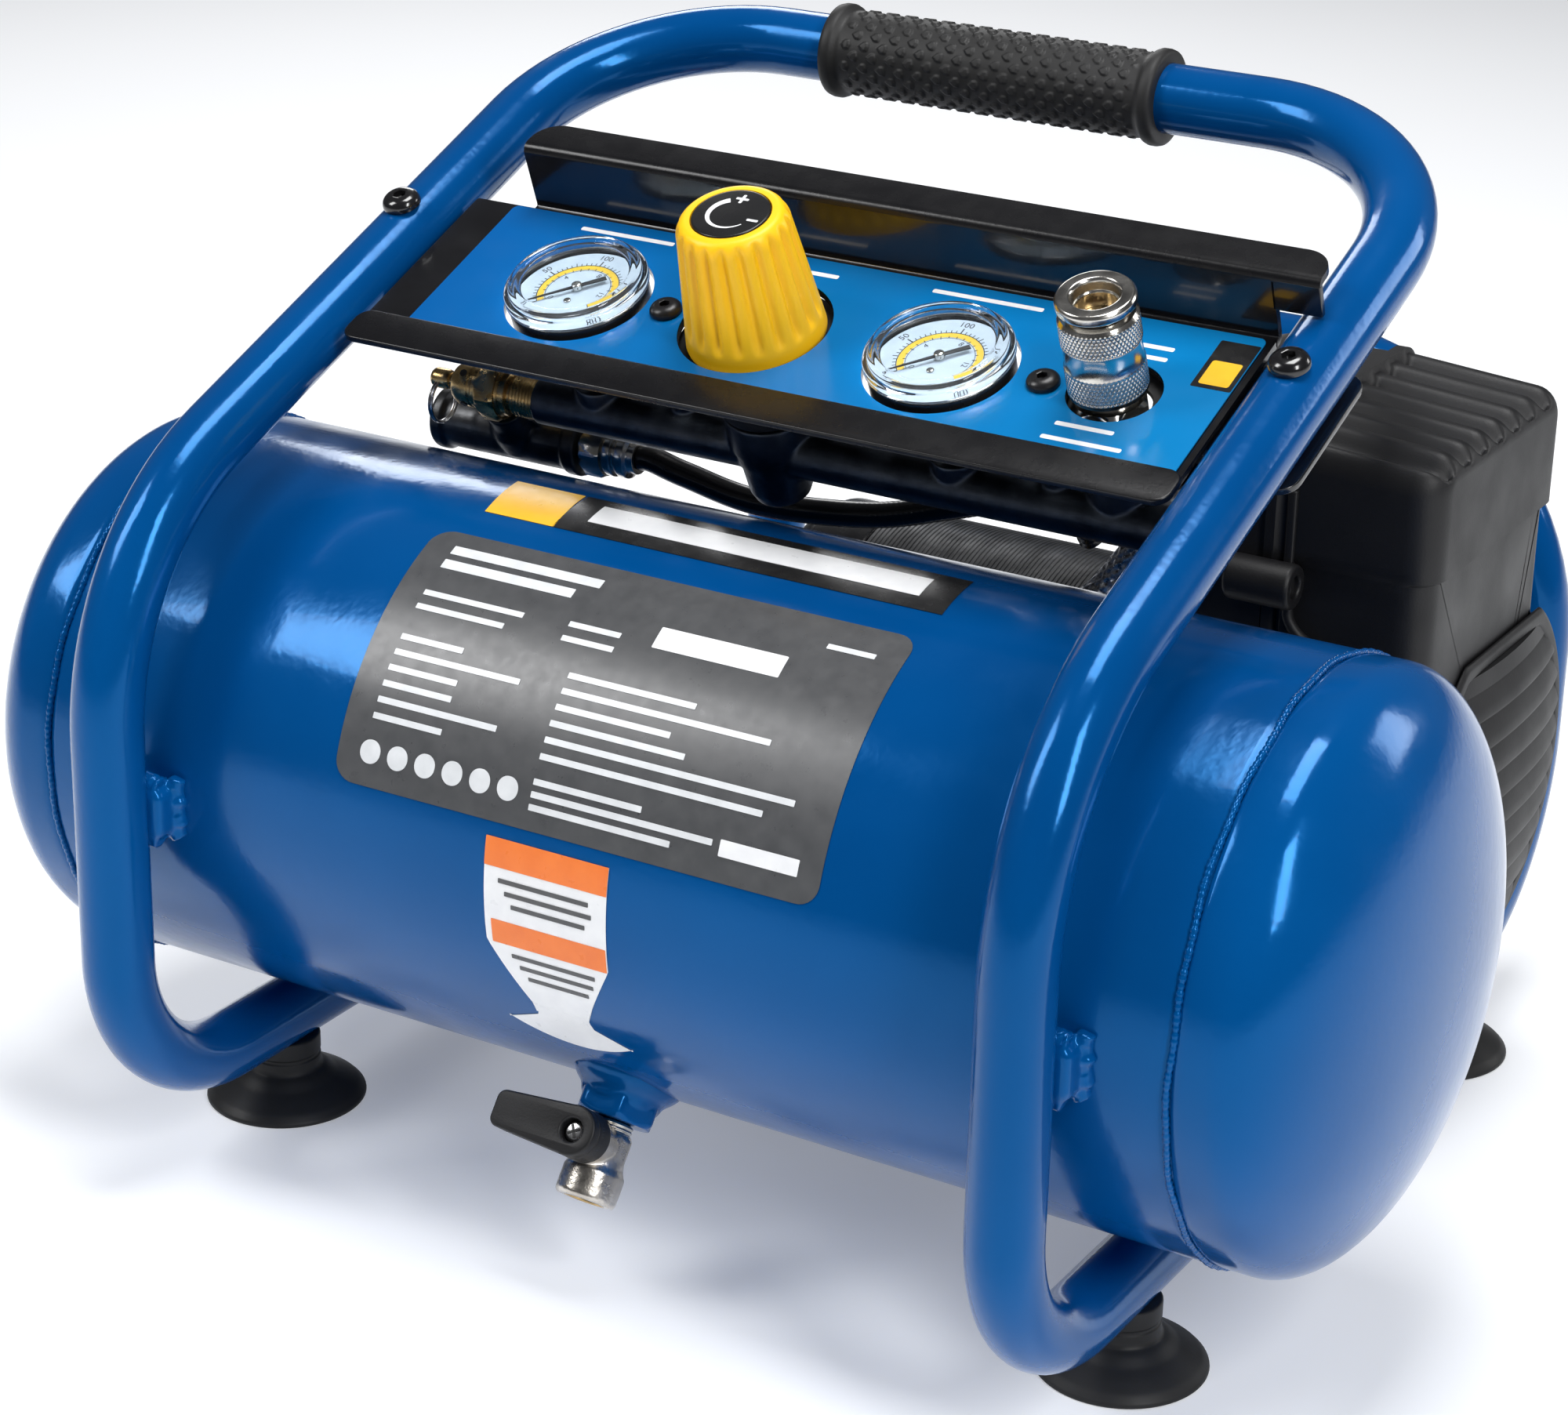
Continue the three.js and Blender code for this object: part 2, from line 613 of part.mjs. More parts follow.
function hoseFitting() {
  const { right, y, z } = UNLOADER;
  const start = right + GAP;
  const barrel = turned([
    [0, start], [6, start], [6, start + 8], [7, start + 8.6], [7, start + 11], [6, start + 12],
    [6.6, start + 13],
    [6.6, start + 15], [5.2, start + 16], [5.2, start + 18], [0, start + 18],
  ], 16);
  return alongX(join(barrel, hexagon(8.2, start + 1, start + 7.5))).translate(0, y, z);
}

function unloaderHose() {
  const start = UNLOADER.right + 18 + 2 * GAP;
  return hose([
    [start, UNLOADER.y, UNLOADER.z], [start + 4, UNLOADER.y, UNLOADER.z], [-52, -21, 187.5], [-27, -21, 184],
    [8, -20, 187], [32, -18, 193.5], [48, -14, 198], [58, -8, 198], [63, -1, 193], [65, 5, 184],
  ], 3.8, 24);
}

function checkValve() {
  const body = join(
    rod(4.7, TANK_R - 6, TANK_R + 8, 12),
    hexagon(9, TANK_R + GAP + 0.6, TANK_R + 8),
    rod(6.4, TANK_R + 8, TANK_R + 12, 16),
  );
  return aimed(body, portAxis, tankCentre.clone().setX(PORT_X));
}

const HEAD_PORT = [PUMP_X, 50, 196];

function dischargeHose() {
  const start = tankCentre.clone().setX(PORT_X).addScaledVector(portAxis, TANK_R + 12 + 2 * GAP);
  return hose([
    start.toArray(), start.clone().addScaledVector(portAxis, 4).toArray(),
    [70, 9, 171], [79, 13, 185], [89, 20, 196.5], [PUMP_X, 31, 200],
    [PUMP_X, HEAD_PORT[1] - 6, HEAD_PORT[2]], [PUMP_X, HEAD_PORT[1] - 2 * GAP, HEAD_PORT[2]],
  ], 5, 16, 8);
}

// Motor, pump and fan

function onAxis(geometry) {
  return alongX(geometry).translate(0, AXIS_Y, AXIS_Z);
}

// Cup-shaped motor end with a bearing seat, open towards the stator.
function motorEnd(closed, open) {
  const floor = closed < open ? closed + 5 : closed - 5;
  return onAxis(turned([
    [11, closed], [MOTOR.r - 3, closed], [MOTOR.r, floor], [MOTOR.r, open], [MOTOR.r - 3, open],
    [MOTOR.r - 3, floor], [11, floor], [11, closed],
  ], 20));
}

function bearing(x) {
  return onAxis(ring(SHAFT_R + 0.3, 10.7, x, x + 5, 20));
}

function motorShaft() {
  return onAxis(rod(SHAFT_R, MOTOR.left + 1, 150, 16));
}

function eccentric() {
  const disc = rod(8.6, PUMP_X - 3, PUMP_X + 3, 20).translate(THROW, 0, 0);
  return onAxis(cut(disc, rod(SHAFT_R + GAP, 0, 200, 16)));
}

// Square crankcase, open on top for the cylinder, with a shaft hole each side and two feet.
function crankcase() {
  const { left, right, half } = CRANKCASE;
  const [y0, y1, z0, z1] = [AXIS_Y - half, AXIS_Y + half, AXIS_Z - half, AXIS_Z + half];
  const shell = block(left, right, y0, y1, z0, z1);
  const hollow = block(left + 4, right - 4, y0 + 4, y1 - 4, z0 + 4, z1 - 4);
  const mouth = rod(18, z1 - 10, z1 + 5, 18).translate(PUMP_X, AXIS_Y, 0);
  const shaftHole = onAxis(rod(SHAFT_R + 1, left - 5, right + 5, 16));
  const feet = [y0, y1 - 8].map((y) => block(left, right, y, y + 8, PLATE.z + PLATE.sheet + GAP, z0 + 2));
  return cut(join(shell, ...feet), hollow, mouth, shaftHole);
}

const CYLINDER = { low: AXIS_Z + CRANKCASE.half + GAP, high: 178, bore: 15.5, r: 17.6 };

// Finned cylinder barrel.
function cylinder() {
  const { low, high, bore, r } = CYLINDER;
  const profile = [[bore, low], [r, low]];
  const [reach, thick, pitch] = [r + 2.9, 2.4, 9];
  for (let z = low + 19; z < high - 4; z += pitch) {
    profile.push([r, z], [reach, z], [reach, z + thick], [r, z + thick]);
  }
  profile.push([r, high], [bore, high], [bore, low]);
  return turned(profile, 16).translate(PUMP_X, AXIS_Y, 0);
}

// Wobble piston: crown, rod and an open big end that clears the turning eccentric.
function piston() {
  const crown = rod(CYLINDER.bore - 0.3, 152, 160, 18).translate(PUMP_X, AXIS_Y, 0);
  const eye = slab(roundedBox(-17, 17, -19.6, 19.6, 16), -2.6, 2.6);
  const slot = slab(roundedBox(-13.6, 13.6, -17.1, 17.1, 13), -4, 4);
  const bigEnd = cut(eye, slot).rotateZ(Math.PI / 2).rotateY(Math.PI / 2).translate(PUMP_X, AXIS_Y, AXIS_Z);
  const rodBar = block(PUMP_X - 2.6, PUMP_X + 2.6, AXIS_Y - 5, AXIS_Y + 5, AXIS_Z + 18.5, 153);
  return join(crown, bigEnd, rodBar);
}

function cylinderHead() {
  const low = CYLINDER.high + GAP;
  const base = block(PUMP_X - 20.5, PUMP_X + 20.5, AXIS_Y - 24, AXIS_Y + 24, low, low + 6);
  const fins = Array.from({ length: 6 }, (_, k) => {
    const x = PUMP_X - 19 + k * 7.6;
    return block(x - 1.2, x + 1.2, AXIS_Y - 22, AXIS_Y + 22, low + 5, low + 22);
  });
  const port = aimed(rod(6.5, 0, 20, 16), new THREE.Vector3(0, 1, 0), new THREE.Vector3(...HEAD_PORT));
  return join(base, ...fins, port);
}

function coolingFan() {
  const hub = ring(SHAFT_R + GAP, 12, 133, 146, 20);
  const blades = Array.from({ length: 7 }, (_, k) => block(11, 44, -7.5, 7.5, -0.9, 0.9)
    .rotateX(0.55).rotateZ((2 * Math.PI * k) / 7).translate(0, 0, 139.5));
  return onAxis(join(hub, ...blades));
}

// Shroud: one shell over the fan and one over the pump, both open towards each other.

function shroudOutline(inset) {
  const upper = roundedBox(SHROUD.front + inset, SHROUD.back - inset, AXIS_Z, SHROUD.top - inset, 9 - inset);
  const round = circle(GUARD_R + 2 - inset, 32);
  return [slab(upper, 0, 1), slab(round, 0, 1).translate(AXIS_Y, AXIS_Z, 0)];
}

// The outline drawn in Y and Z, drawn out from x0 to x1.
function shroudBlock(inset, x0, x1) {
  const standing = new THREE.Matrix4().makeBasis(new THREE.Vector3(0, 1, 0), new THREE.Vector3(0, 0, 1),
    new THREE.Vector3(1, 0, 0));
  const outline = join(...shroudOutline(inset).map((piece) => piece.scale(1, 1, x1 - x0)));
  return outline.applyMatrix4(standing).translate(x0, 0, 0);
}

// Opening under the shroud for the crankcase's feet.
function footWay(x0, x1) {
  return block(x0, x1, AXIS_Y - 34, AXIS_Y + 34, 30, AXIS_Z - 24);
}

function shroudRight() {
  const { right, seam, wall } = SHROUD;
  const mouth = onAxis(rod(GUARD_R - 3, right - 10, right + 5, 28));
  const hollow = shroudBlock(wall, seam - 5, right - wall);
  return cut(shroudBlock(0, seam + GAP, right), hollow, mouth, footWay(seam - 5, CRANKCASE.right + 2));
}

function shroudLeft() {
  const { left, seam, wall, front } = SHROUD;
  const motorWay = onAxis(rod(MOTOR.r + 2, left - 5, left + 10, 24));
  const hoseWay = rod(9.5, -8, 8, 16).rotateX(Math.PI / 2).translate(89.5, front, 197);
  const hollow = shroudBlock(wall, left + wall, seam + 5);
  return cut(shroudBlock(0, left, seam), hollow, motorWay, hoseWay, footWay(left - 5, seam + 5));
}

// Round guard: a rim, a hub and sloping louvres between them.
function fanGuard() {
  const [low, high] = [SHROUD.right - 4, SHROUD.right + 1.5];
  const outer = GUARD_R - 3 - GAP;
  const rim = ring(outer - 3, outer, low, high, 28);
  const louvres = [];
  for (let z = -39; z <= 39; z += 13) {
    const reach = Math.sqrt((outer - 1) ** 2 - (Math.abs(z) + 4) ** 2);
    const slat = block(-1, 1, -reach, reach, -4.2, 4.2).rotateY(-0.6);
    louvres.push(slat.translate(low + 2.9, AXIS_Y, AXIS_Z + z));
  }
  const [foot, head] = [AXIS_Z - outer + 1, AXIS_Z + outer - 1];
  const spine = block(low + 0.5, low + 2.5, AXIS_Y - 1.5, AXIS_Y + 1.5, foot, head);
  return join(onAxis(rim), spine, ...louvres);
}

// Pressure switch with a rocker on top and a gland for the power cord, beside the motor.

const SWITCH = { left: -122, right: -78, front: 62, back: 108, top: 98 };

function pressureSwitch() {
  const { left, right, front, back, top } = SWITCH;
  const floor = PLATE.z + PLATE.sheet + GAP;
  const body = slab(roundedBox(left, right, front, back, 5), floor, top);
  const well = block(left + 12, right - 12, 74, 96, top - 6, top + 4);
  const gland = turned([[0, -2], [9, -2], [9, 4], [6.5, 5], [5.6, 14], [3.6, 14], [3.6, 2], [0, 2]], 16)
    .rotateX(-Math.PI / 2).translate((left + right) / 2, back, 62);
  return cut(join(body, gland), well);
}

const ROCKER_TILT = 0.14;

function switchRocker() {
  const x = (SWITCH.left + SWITCH.right) / 2;
  const cap = block(-9.4, 9.4, -9.8, 9.8, -0.5, 3);
  const shaft = rod(2.4, -9.4, 9.4, 12).rotateY(Math.PI / 2);
  return join(cap, shaft).rotateX(ROCKER_TILT).translate(x, 85, SWITCH.top);
}

// Assembly

for (const [name, side] of [["left", -1], ["right", 1]]) {
  add(`cage_${name}`, cageHalf(side), "blue");
  add(`tank_head_${name}`, tankHead(side), "blue");
  add(`foot_front_${name}`, foot(side * HALF_TRACK, FOOT_Y[0]), "rubber");
  add(`foot_rear_${name}`, foot(side * HALF_TRACK, FOOT_Y[1]), "rubber");
  add(`panel_bolt_${name}`, panelBolt(side), "black", panel);
}
add("handle_grip", handleGrip(), "rubber");
add("tank_shell", tankShell(), "blue");
add("mount_plate", mountPlate(), "black");

add("drain_valve_body", drainValveBody(), "nickel");
add("drain_lever", drainLever(), "plastic");
add("drain_lever_screw", onStem(rod(2.9, 16.7, 18.4, 12)), "steel");

add("panel_bracket", panelBracket(), "black", panel);
add("panel_label", panelLabel(), "label", panel);
["left", "right"].forEach((name, i) => add(`panel_screw_${name}`, panelScrew(SCREWS[i]), "black", panel));

["tank", "outlet"].forEach((name, i) => {
  add(`${name}_gauge_case`, gaugeCase(GAUGE_X[i]), "plastic", panel);
  add(`${name}_gauge_dial`, gaugeDial(GAUGE_X[i]), "white", panel);
  add(`${name}_gauge_needle`, gaugeNeedle(GAUGE_X[i]), "black", panel);
  add(`${name}_gauge_lens`, gaugeLens(GAUGE_X[i]), "clear", panel);
});

add("regulator_knob", regulatorKnob(), "yellow", panel);
add("regulator_knob_cap", knobCap(), "black", panel);
add("regulator_bonnet", regulatorBonnet(), "plastic", panel);
add("coupler_body", couplerBody(), "nickel", panel);
add("coupler_sleeve", couplerSleeve(), "nickel", panel);
add("manifold", manifold(), "cast", panel);

add("safety_valve_body", safetyValveBody(), "brass");
add("safety_valve_stem", safetyValveStem(), "brass");
add("safety_valve_ring", safetyValveRing(), "steel");
add("unloader_valve", unloaderValve(), "cast");
add("hose_fitting", hoseFitting(), "nickel");
add("unloader_hose", unloaderHose(), "rubber");
add("check_valve", checkValve(), "brass");
add("discharge_hose", dischargeHose(), "steel");

add("motor_end_left", motorEnd(MOTOR.left, -42.3), "aluminium");
add("motor_end_right", motorEnd(MOTOR.right, 42.3), "aluminium");
add("motor_stator", onAxis(ring(22.8, MOTOR.r, -42, 42, 20)), "steel");
add("motor_rotor", onAxis(ring(SHAFT_R + GAP, 22, -40, 40, 20)), "steel");
add("bearing_left", bearing(MOTOR.left), "steel");
add("bearing_right", bearing(MOTOR.right - 5), "steel");
add("motor_shaft", motorShaft(), "steel");
add("eccentric", eccentric(), "steel");
add("crankcase", crankcase(), "aluminium");
add("cylinder", cylinder(), "aluminium");
add("piston", piston(), "aluminium");
add("cylinder_head", cylinderHead(), "aluminium");
add("cooling_fan", coolingFan(), "plastic");
add("shroud_right", shroudRight(), "plastic");
add("shroud_left", shroudLeft(), "plastic");
add("fan_guard", fanGuard(), "plastic");
add("pressure_switch", pressureSwitch(), "plastic");
add("switch_rocker", switchRocker(), "red");

export default object;
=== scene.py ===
"""Looks of a portable electric air compressor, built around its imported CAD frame.

Shapes are worked out in millimetres as (corners, faces) and become pieces in metres in the row frame:
+X to the user's right along the tank, +Y to the back, +Z up, floor at Z = 0.
"""
import json
import math

import bmesh
import bpy
from mathutils import Matrix, Vector


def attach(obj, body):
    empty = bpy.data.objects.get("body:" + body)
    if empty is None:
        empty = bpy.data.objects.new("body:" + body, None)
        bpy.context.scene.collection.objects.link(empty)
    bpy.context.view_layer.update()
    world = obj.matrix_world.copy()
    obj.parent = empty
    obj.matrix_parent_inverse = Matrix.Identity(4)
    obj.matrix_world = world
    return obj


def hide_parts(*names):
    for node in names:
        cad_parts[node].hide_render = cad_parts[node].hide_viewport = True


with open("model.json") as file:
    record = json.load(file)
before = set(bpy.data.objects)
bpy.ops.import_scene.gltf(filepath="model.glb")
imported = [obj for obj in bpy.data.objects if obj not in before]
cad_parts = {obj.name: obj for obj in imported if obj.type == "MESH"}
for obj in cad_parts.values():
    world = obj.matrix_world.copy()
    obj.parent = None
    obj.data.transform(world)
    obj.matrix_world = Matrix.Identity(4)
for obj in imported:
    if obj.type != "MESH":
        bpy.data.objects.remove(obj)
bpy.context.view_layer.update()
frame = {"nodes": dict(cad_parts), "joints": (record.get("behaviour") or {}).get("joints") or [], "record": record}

MM = 0.001
TAU = 2 * math.pi
X_AXIS = Vector((1, 0, 0))
Y_AXIS = Vector((0, 1, 0))
Z_AXIS = Vector((0, 0, 1))

BODY_OF = {node: body for body, nodes in frame["record"]["behaviour"]["bodies"].items() for node in nodes}
JOINTS = {joint["name"]: joint for joint in frame["joints"]}


SIDES = ((-1, "left"), (1, "right"))


def pivot(name):
    return Vector(JOINTS[name]["pos_m"]) / MM


def axis(name):
    return Vector(JOINTS[name]["axis"]).normalized()


def placed(origin, z_axis, x_axis=X_AXIS):
    """The matrix that takes a shape made about Z to an origin and a direction."""
    x_axis = (x_axis - z_axis * x_axis.dot(z_axis)).normalized()
    columns = Matrix((x_axis, z_axis.cross(x_axis), z_axis)).transposed().to_4x4()
    return Matrix.Translation(origin) @ columns


def full_turn(count):
    return [TAU * k / count for k in range(count)]


def quarter(steps):
    """Angles from nothing to a right angle, both included."""
    return [math.pi / 2 * k / steps for k in range(steps + 1)]


# Driving dimensions, in millimetres, as in the CAD part
TUBE_R = 10
HALF_TRACK = 138.4
FRONT_Y = -176
REAR_Y = 176
RAIL_Z = 27.3
KNEE_Z = 191.9
HANDLE_Y = 75
HANDLE_Z = 292.9
REAR_BAR_Z = 195
BEND = {"handle": 60, "knee": 80, "front_foot": 46, "rear_foot": 57, "rear_bar": 82}
GRIP = {"left": -60.5, "right": 48, "r": 12.2, "lip": 13.9}
TANK_R = 80
TANK_SEAM = 182
TANK_HALF = 213.4
FOOT_Y = (-104, 112.4)
KNOB = {"x": -13, "s": 137.5, "base": 19.5, "top": 15.6, "height": 39}
GAUGE_X = {"tank": -69.3, "outlet": 45.1}
GAUGE_S = 136
GAUGE_RIM = 4.6
COUPLER = {"x": 93.3, "s": 138.2, "r": 10.7, "top": 33.5}
BOLT_S = 152
SCREWS = {"left": (-40.6, 136), "right": (75.4, 136)}
PANEL = {"front": 107.3, "rear": 171.8, "half": 126, "top": 2.1, "sheet": 2}
FRONT_LIP = {"left": -124, "right": 129, "reach": 11, "top": 6.5}
REAR_WALL = {"left": -106, "right": 139, "height": 22.5, "lip": 12.3}
LABEL = {"left": -112, "right": 124, "front": 109.8, "rear": 169.5}
MANIFOLD = {"left": -90, "right": 112, "s": 134, "n": -36.6, "r": 7.2}
UNLOADER = {"left": -137, "right": -86, "y": -21, "z": 190, "neck": -108}
PORT = {"x": 64, "axis": Vector((0, 0.883, 0.469))}
PUMP_X = 96
HEAD_PORT = Vector((PUMP_X, 50, 196))
GUARD_TOP = 149.5
MOTOR = {"left": -70, "right": 77.7, "r": 44}
SHROUD = {"left": 71, "seam": 110, "right": 160, "front": 21, "back": 117, "top": 220.5, "wall": 3}
CREASE = 183
GUARD_R = 55
LEVER_AT = 98
BUNG_END = 90.5
VALVE_END = 113.4

# Frames taken from the joints
NORMAL = axis("regulator_turn")
PANEL_AT = placed(pivot("regulator_turn") - KNOB["x"] * X_AXIS - KNOB["s"] * NORMAL.cross(X_AXIS), NORMAL)
STEM_AT = placed(pivot("drain_lever_turn"), axis("drain_lever_turn"))
DRAIN = Vector((0, -axis("drain_lever_turn").z, axis("drain_lever_turn").y))
TANK_CENTRE = pivot("drain_lever_turn") - LEVER_AT * DRAIN
DRAIN_AT = placed(TANK_CENTRE, DRAIN)
SHAFT_AT = placed(Vector((0, pivot("motor_spin").y, pivot("motor_spin").z)), X_AXIS, Y_AXIS)
AXIS_Y = pivot("motor_spin").y
AXIS_Z = pivot("motor_spin").z


def on_panel(x, s, n=0):
    return PANEL_AT @ Matrix.Translation((x, s, n))


# Camera, lights and floor, in metres, with the lens and the sensor in millimetres

CAMERA_AT = Vector((0.4952, -0.8941, 0.5351))
CAMERA_RIGHT = Vector((0.8577, 0.5136, 0.0210)).normalized()
CAMERA_BACK = Vector((0.4693, -0.7991, 0.3758)).normalized()
LENS = 86.77
SENSOR = 36
SHIFT = (-0.0008, -0.0024)
COOL_WHITE = (0.93, 0.95, 1.0, 1)
MIDDLE = (0, 0, 0.15)
LAMPS = {
    "key_left": ((-0.95, -0.85, 1.25), MIDDLE, (0.45, 0.7), 12),
    "key_right": ((1.25, -0.75, 1.15), MIDDLE, (0.35, 0.9), 17),
    "top": ((0.1, 0.0, 1.7), (0, 0, 0.1), (0.8, 0.6), 20),
    "back_left": ((-1.0, 1.3, 1.0), MIDDLE, (0.6, 0.6), 6),
    "back_right": ((1.2, 1.3, 0.9), MIDDLE, (0.5, 0.7), 6),
}


def look():
    scene = bpy.context.scene
    camera = bpy.data.objects.new("camera", bpy.data.cameras.new("camera"))
    scene.collection.objects.link(camera)
    scene.camera = camera
    axes = Matrix((CAMERA_RIGHT, CAMERA_BACK.cross(CAMERA_RIGHT), CAMERA_BACK)).transposed().to_4x4()
    camera.matrix_world = Matrix.Translation(CAMERA_AT) @ axes
    camera.data.lens = LENS
    camera.data.sensor_width = SENSOR
    camera.data.shift_x, camera.data.shift_y = SHIFT
    camera.data.clip_start = 0.01


def studio():
    for name, (place, target, size, power) in LAMPS.items():
        light = bpy.data.lights.new(name, "AREA")
        light.shape = "RECTANGLE"
        light.size, light.size_y = size
        light.energy = power
        lamp = bpy.data.objects.new(name, light)
        lamp.location = place
        lamp.rotation_euler = (Vector(target) - Vector(place)).to_track_quat("-Z", "Y").to_euler()
        bpy.context.scene.collection.objects.link(lamp)
    world = bpy.data.worlds.new("studio")
    bpy.context.scene.world = world
    world.use_nodes = True
    background = world.node_tree.nodes["Background"]
    background.inputs["Color"].default_value = COOL_WHITE
    background.inputs["Strength"].default_value = 0.08
    bpy.context.scene.view_settings.view_transform = "Standard"


def floor():
    size = 6.0
    mesh = bpy.data.meshes.new("floor")
    corners = [(-size, -size, 0), (size, -size, 0), (size, size, 0), (-size, size, 0)]
    mesh.from_pydata(corners, [], [(0, 1, 2, 3)])
    ground = bpy.data.objects.new("floor", mesh)
    bpy.context.scene.collection.objects.link(ground)
    made, _, shader = new_material("floor")
    shader.inputs["Base Color"].default_value = (0.86, 0.87, 0.88, 1)
    shader.inputs["Roughness"].default_value = 0.7
    shader.inputs["Emission Color"].default_value = COOL_WHITE
    shader.inputs["Emission Strength"].default_value = 0.26
    mesh.materials.append(made)


# Node helpers for the materials

def new_material(name):
    made = bpy.data.materials.new(name)
    made.use_nodes = True
    return made, made.node_tree, made.node_tree.nodes["Principled BSDF"]


def add_node(tree, kind, settings=None, sockets=None):
    node = tree.nodes.new(kind)
    for key, value in (settings or {}).items():
        setattr(node, key, value)
    for key, value in (sockets or {}).items():
        if isinstance(value, bpy.types.NodeSocket):
            tree.links.new(value, node.inputs[key])
        else:
            node.inputs[key].default_value = value
    return node


EVEN = (1, 1, 1)


def place_of(tree, stretch=EVEN):
    """Coordinates in metres in the row frame, stretched for grain that runs one way."""
    where = add_node(tree, "ShaderNodeTexCoord").outputs["Object"]
    return add_node(tree, "ShaderNodeMapping", None, {"Vector": where, "Scale": stretch}).outputs["Vector"]


def noise_of(tree, scale, detail, stretch=EVEN, rough=0.5):
    sockets = {"Vector": place_of(tree, stretch), "Scale": scale, "Detail": detail, "Roughness": rough}
    return add_node(tree, "ShaderNodeTexNoise", None, sockets).outputs["Fac"]


def cells_of(tree, scale):
    sockets = {"Vector": place_of(tree), "Scale": scale}
    return add_node(tree, "ShaderNodeTexVoronoi", None, sockets).outputs["Distance"]


def ranged(tree, value, low, high, start=0.3, end=0.7):
    sockets = {"Value": value, "From Min": start, "From Max": end, "To Min": low, "To Max": high}
    return add_node(tree, "ShaderNodeMapRange", None, sockets).outputs["Result"]


def tinted(tree, value, *stops):
    """A colour ramp through (place, colour) stops."""
    ramp = add_node(tree, "ShaderNodeValToRGB", None, {"Fac": value})
    bar = ramp.color_ramp
    while len(bar.elements) < len(stops):
        bar.elements.new(0.5)
    for element, (place, colour) in zip(bar.elements, stops):
        element.position = place
        element.color = (*colour, 1)
    return ramp.outputs["Color"]


def bumped(tree, height, distance, strength, under=None):
    sockets = {"Height": height, "Distance": distance, "Strength": strength}
    if under is not None:
        sockets["Normal"] = under
    return add_node(tree, "ShaderNodeBump", None, sockets).outputs["Normal"]


def finish_shader(tree, shader, colour, roughness, normal, **fixed):
    tree.links.new(colour, shader.inputs["Base Color"])
    tree.links.new(roughness, shader.inputs["Roughness"])
    if normal is not None:
        tree.links.new(normal, shader.inputs["Normal"])
    for name, value in fixed.items():
        shader.inputs[name.replace("_", " ")].default_value = value


# Materials

def surface(name, tint, rough, bumps, **fixed):
    """A material with grain.

    tint is a noise's scale and detail with colour stops, and rough the same with the lowest and the highest
    roughness. Each bump is a noise's arguments, a height in metres and a strength, laid over the bump before it.
    """
    made, tree, shader = new_material(name)
    colour = tinted(tree, noise_of(tree, *tint[:2]), *tint[2:])
    roughness = ranged(tree, noise_of(tree, *rough[:2]), *rough[2:])
    normal = None
    for noise, height, strength in bumps:
        normal = bumped(tree, noise_of(tree, *noise), height, strength, normal)
    finish_shader(tree, shader, colour, roughness, normal, **fixed)
    return made


def blue_paint():
    """Gloss powder coat: orange peel, a little dust and slow changes of depth."""
    made = surface("blue_paint", (9, 3, (0.30, (0.0003, 0.050, 0.190)), (0.75, (0.0005, 0.070, 0.250))),
                   (70, 5, 0.10, 0.20), [((420, 1), 0.00012, 0.30)], Coat_Weight=0.06, Coat_Roughness=0.05,
                   Specular_IOR_Level=0.70, Specular_Tint=(0.06, 0.42, 1.0, 1))
    tree = made.node_tree
    normal = tree.nodes["Principled BSDF"].inputs["Normal"]
    specks = ranged(tree, cells_of(tree, 260), 1, 0, 0.0, 0.10)
    tree.links.new(bumped(tree, specks, 0.00008, 0.10, normal.links[0].from_socket), normal)
    return made


def face_label():
    """Printed film: blue that deepens towards the left."""
    made, tree, shader = new_material("face_label")
    across = add_node(tree, "ShaderNodeSeparateXYZ", None, {"Vector": place_of(tree)})
    share = ranged(tree, across.outputs["X"], 0, 1, -0.125, 0.125)
    colour = tinted(tree, share, (0.0, (0.001, 0.085, 0.300)), (0.5, (0.002, 0.135, 0.380)),
                    (1.0, (0.003, 0.175, 0.430)))
    roughness = ranged(tree, noise_of(tree, 60, 4), 0.12, 0.24)
    film = bumped(tree, noise_of(tree, 220, 2), 0.00006, 0.15)
    finish_shader(tree, shader, colour, roughness, film, Specular_IOR_Level=0.35)
    return made


def moulded(name, dark, light, rough_low, rough_high, grain=1500, height=0.00008):
    """Moulded plastic or rubber with a spark-eroded grain over slow waves."""
    return surface(name, (25, 4, (0.3, dark), (0.8, light)), (45, 5, rough_low, rough_high),
                   [((grain, 3, EVEN, 0.7), height, 0.6), ((60, 2), 0.0003, 0.12)], Specular_IOR_Level=0.36)


def plated(name, dark, light, rough_low, rough_high, grain, height, stretch=EVEN):
    """Metal with fine tool marks and tarnish that pools in patches."""
    return surface(name, (110, 5, (0.32, dark), (0.70, light)), (160, 4, rough_low, rough_high),
                   [((grain, 3, stretch, 0.6), height, 0.5)], Metallic=1.0)


def printed(name, dark, light, rough=0.35):
    return surface(name, (180, 3, (0.3, dark), (0.8, light)), (300, 3, rough - 0.03, rough + 0.04), [])


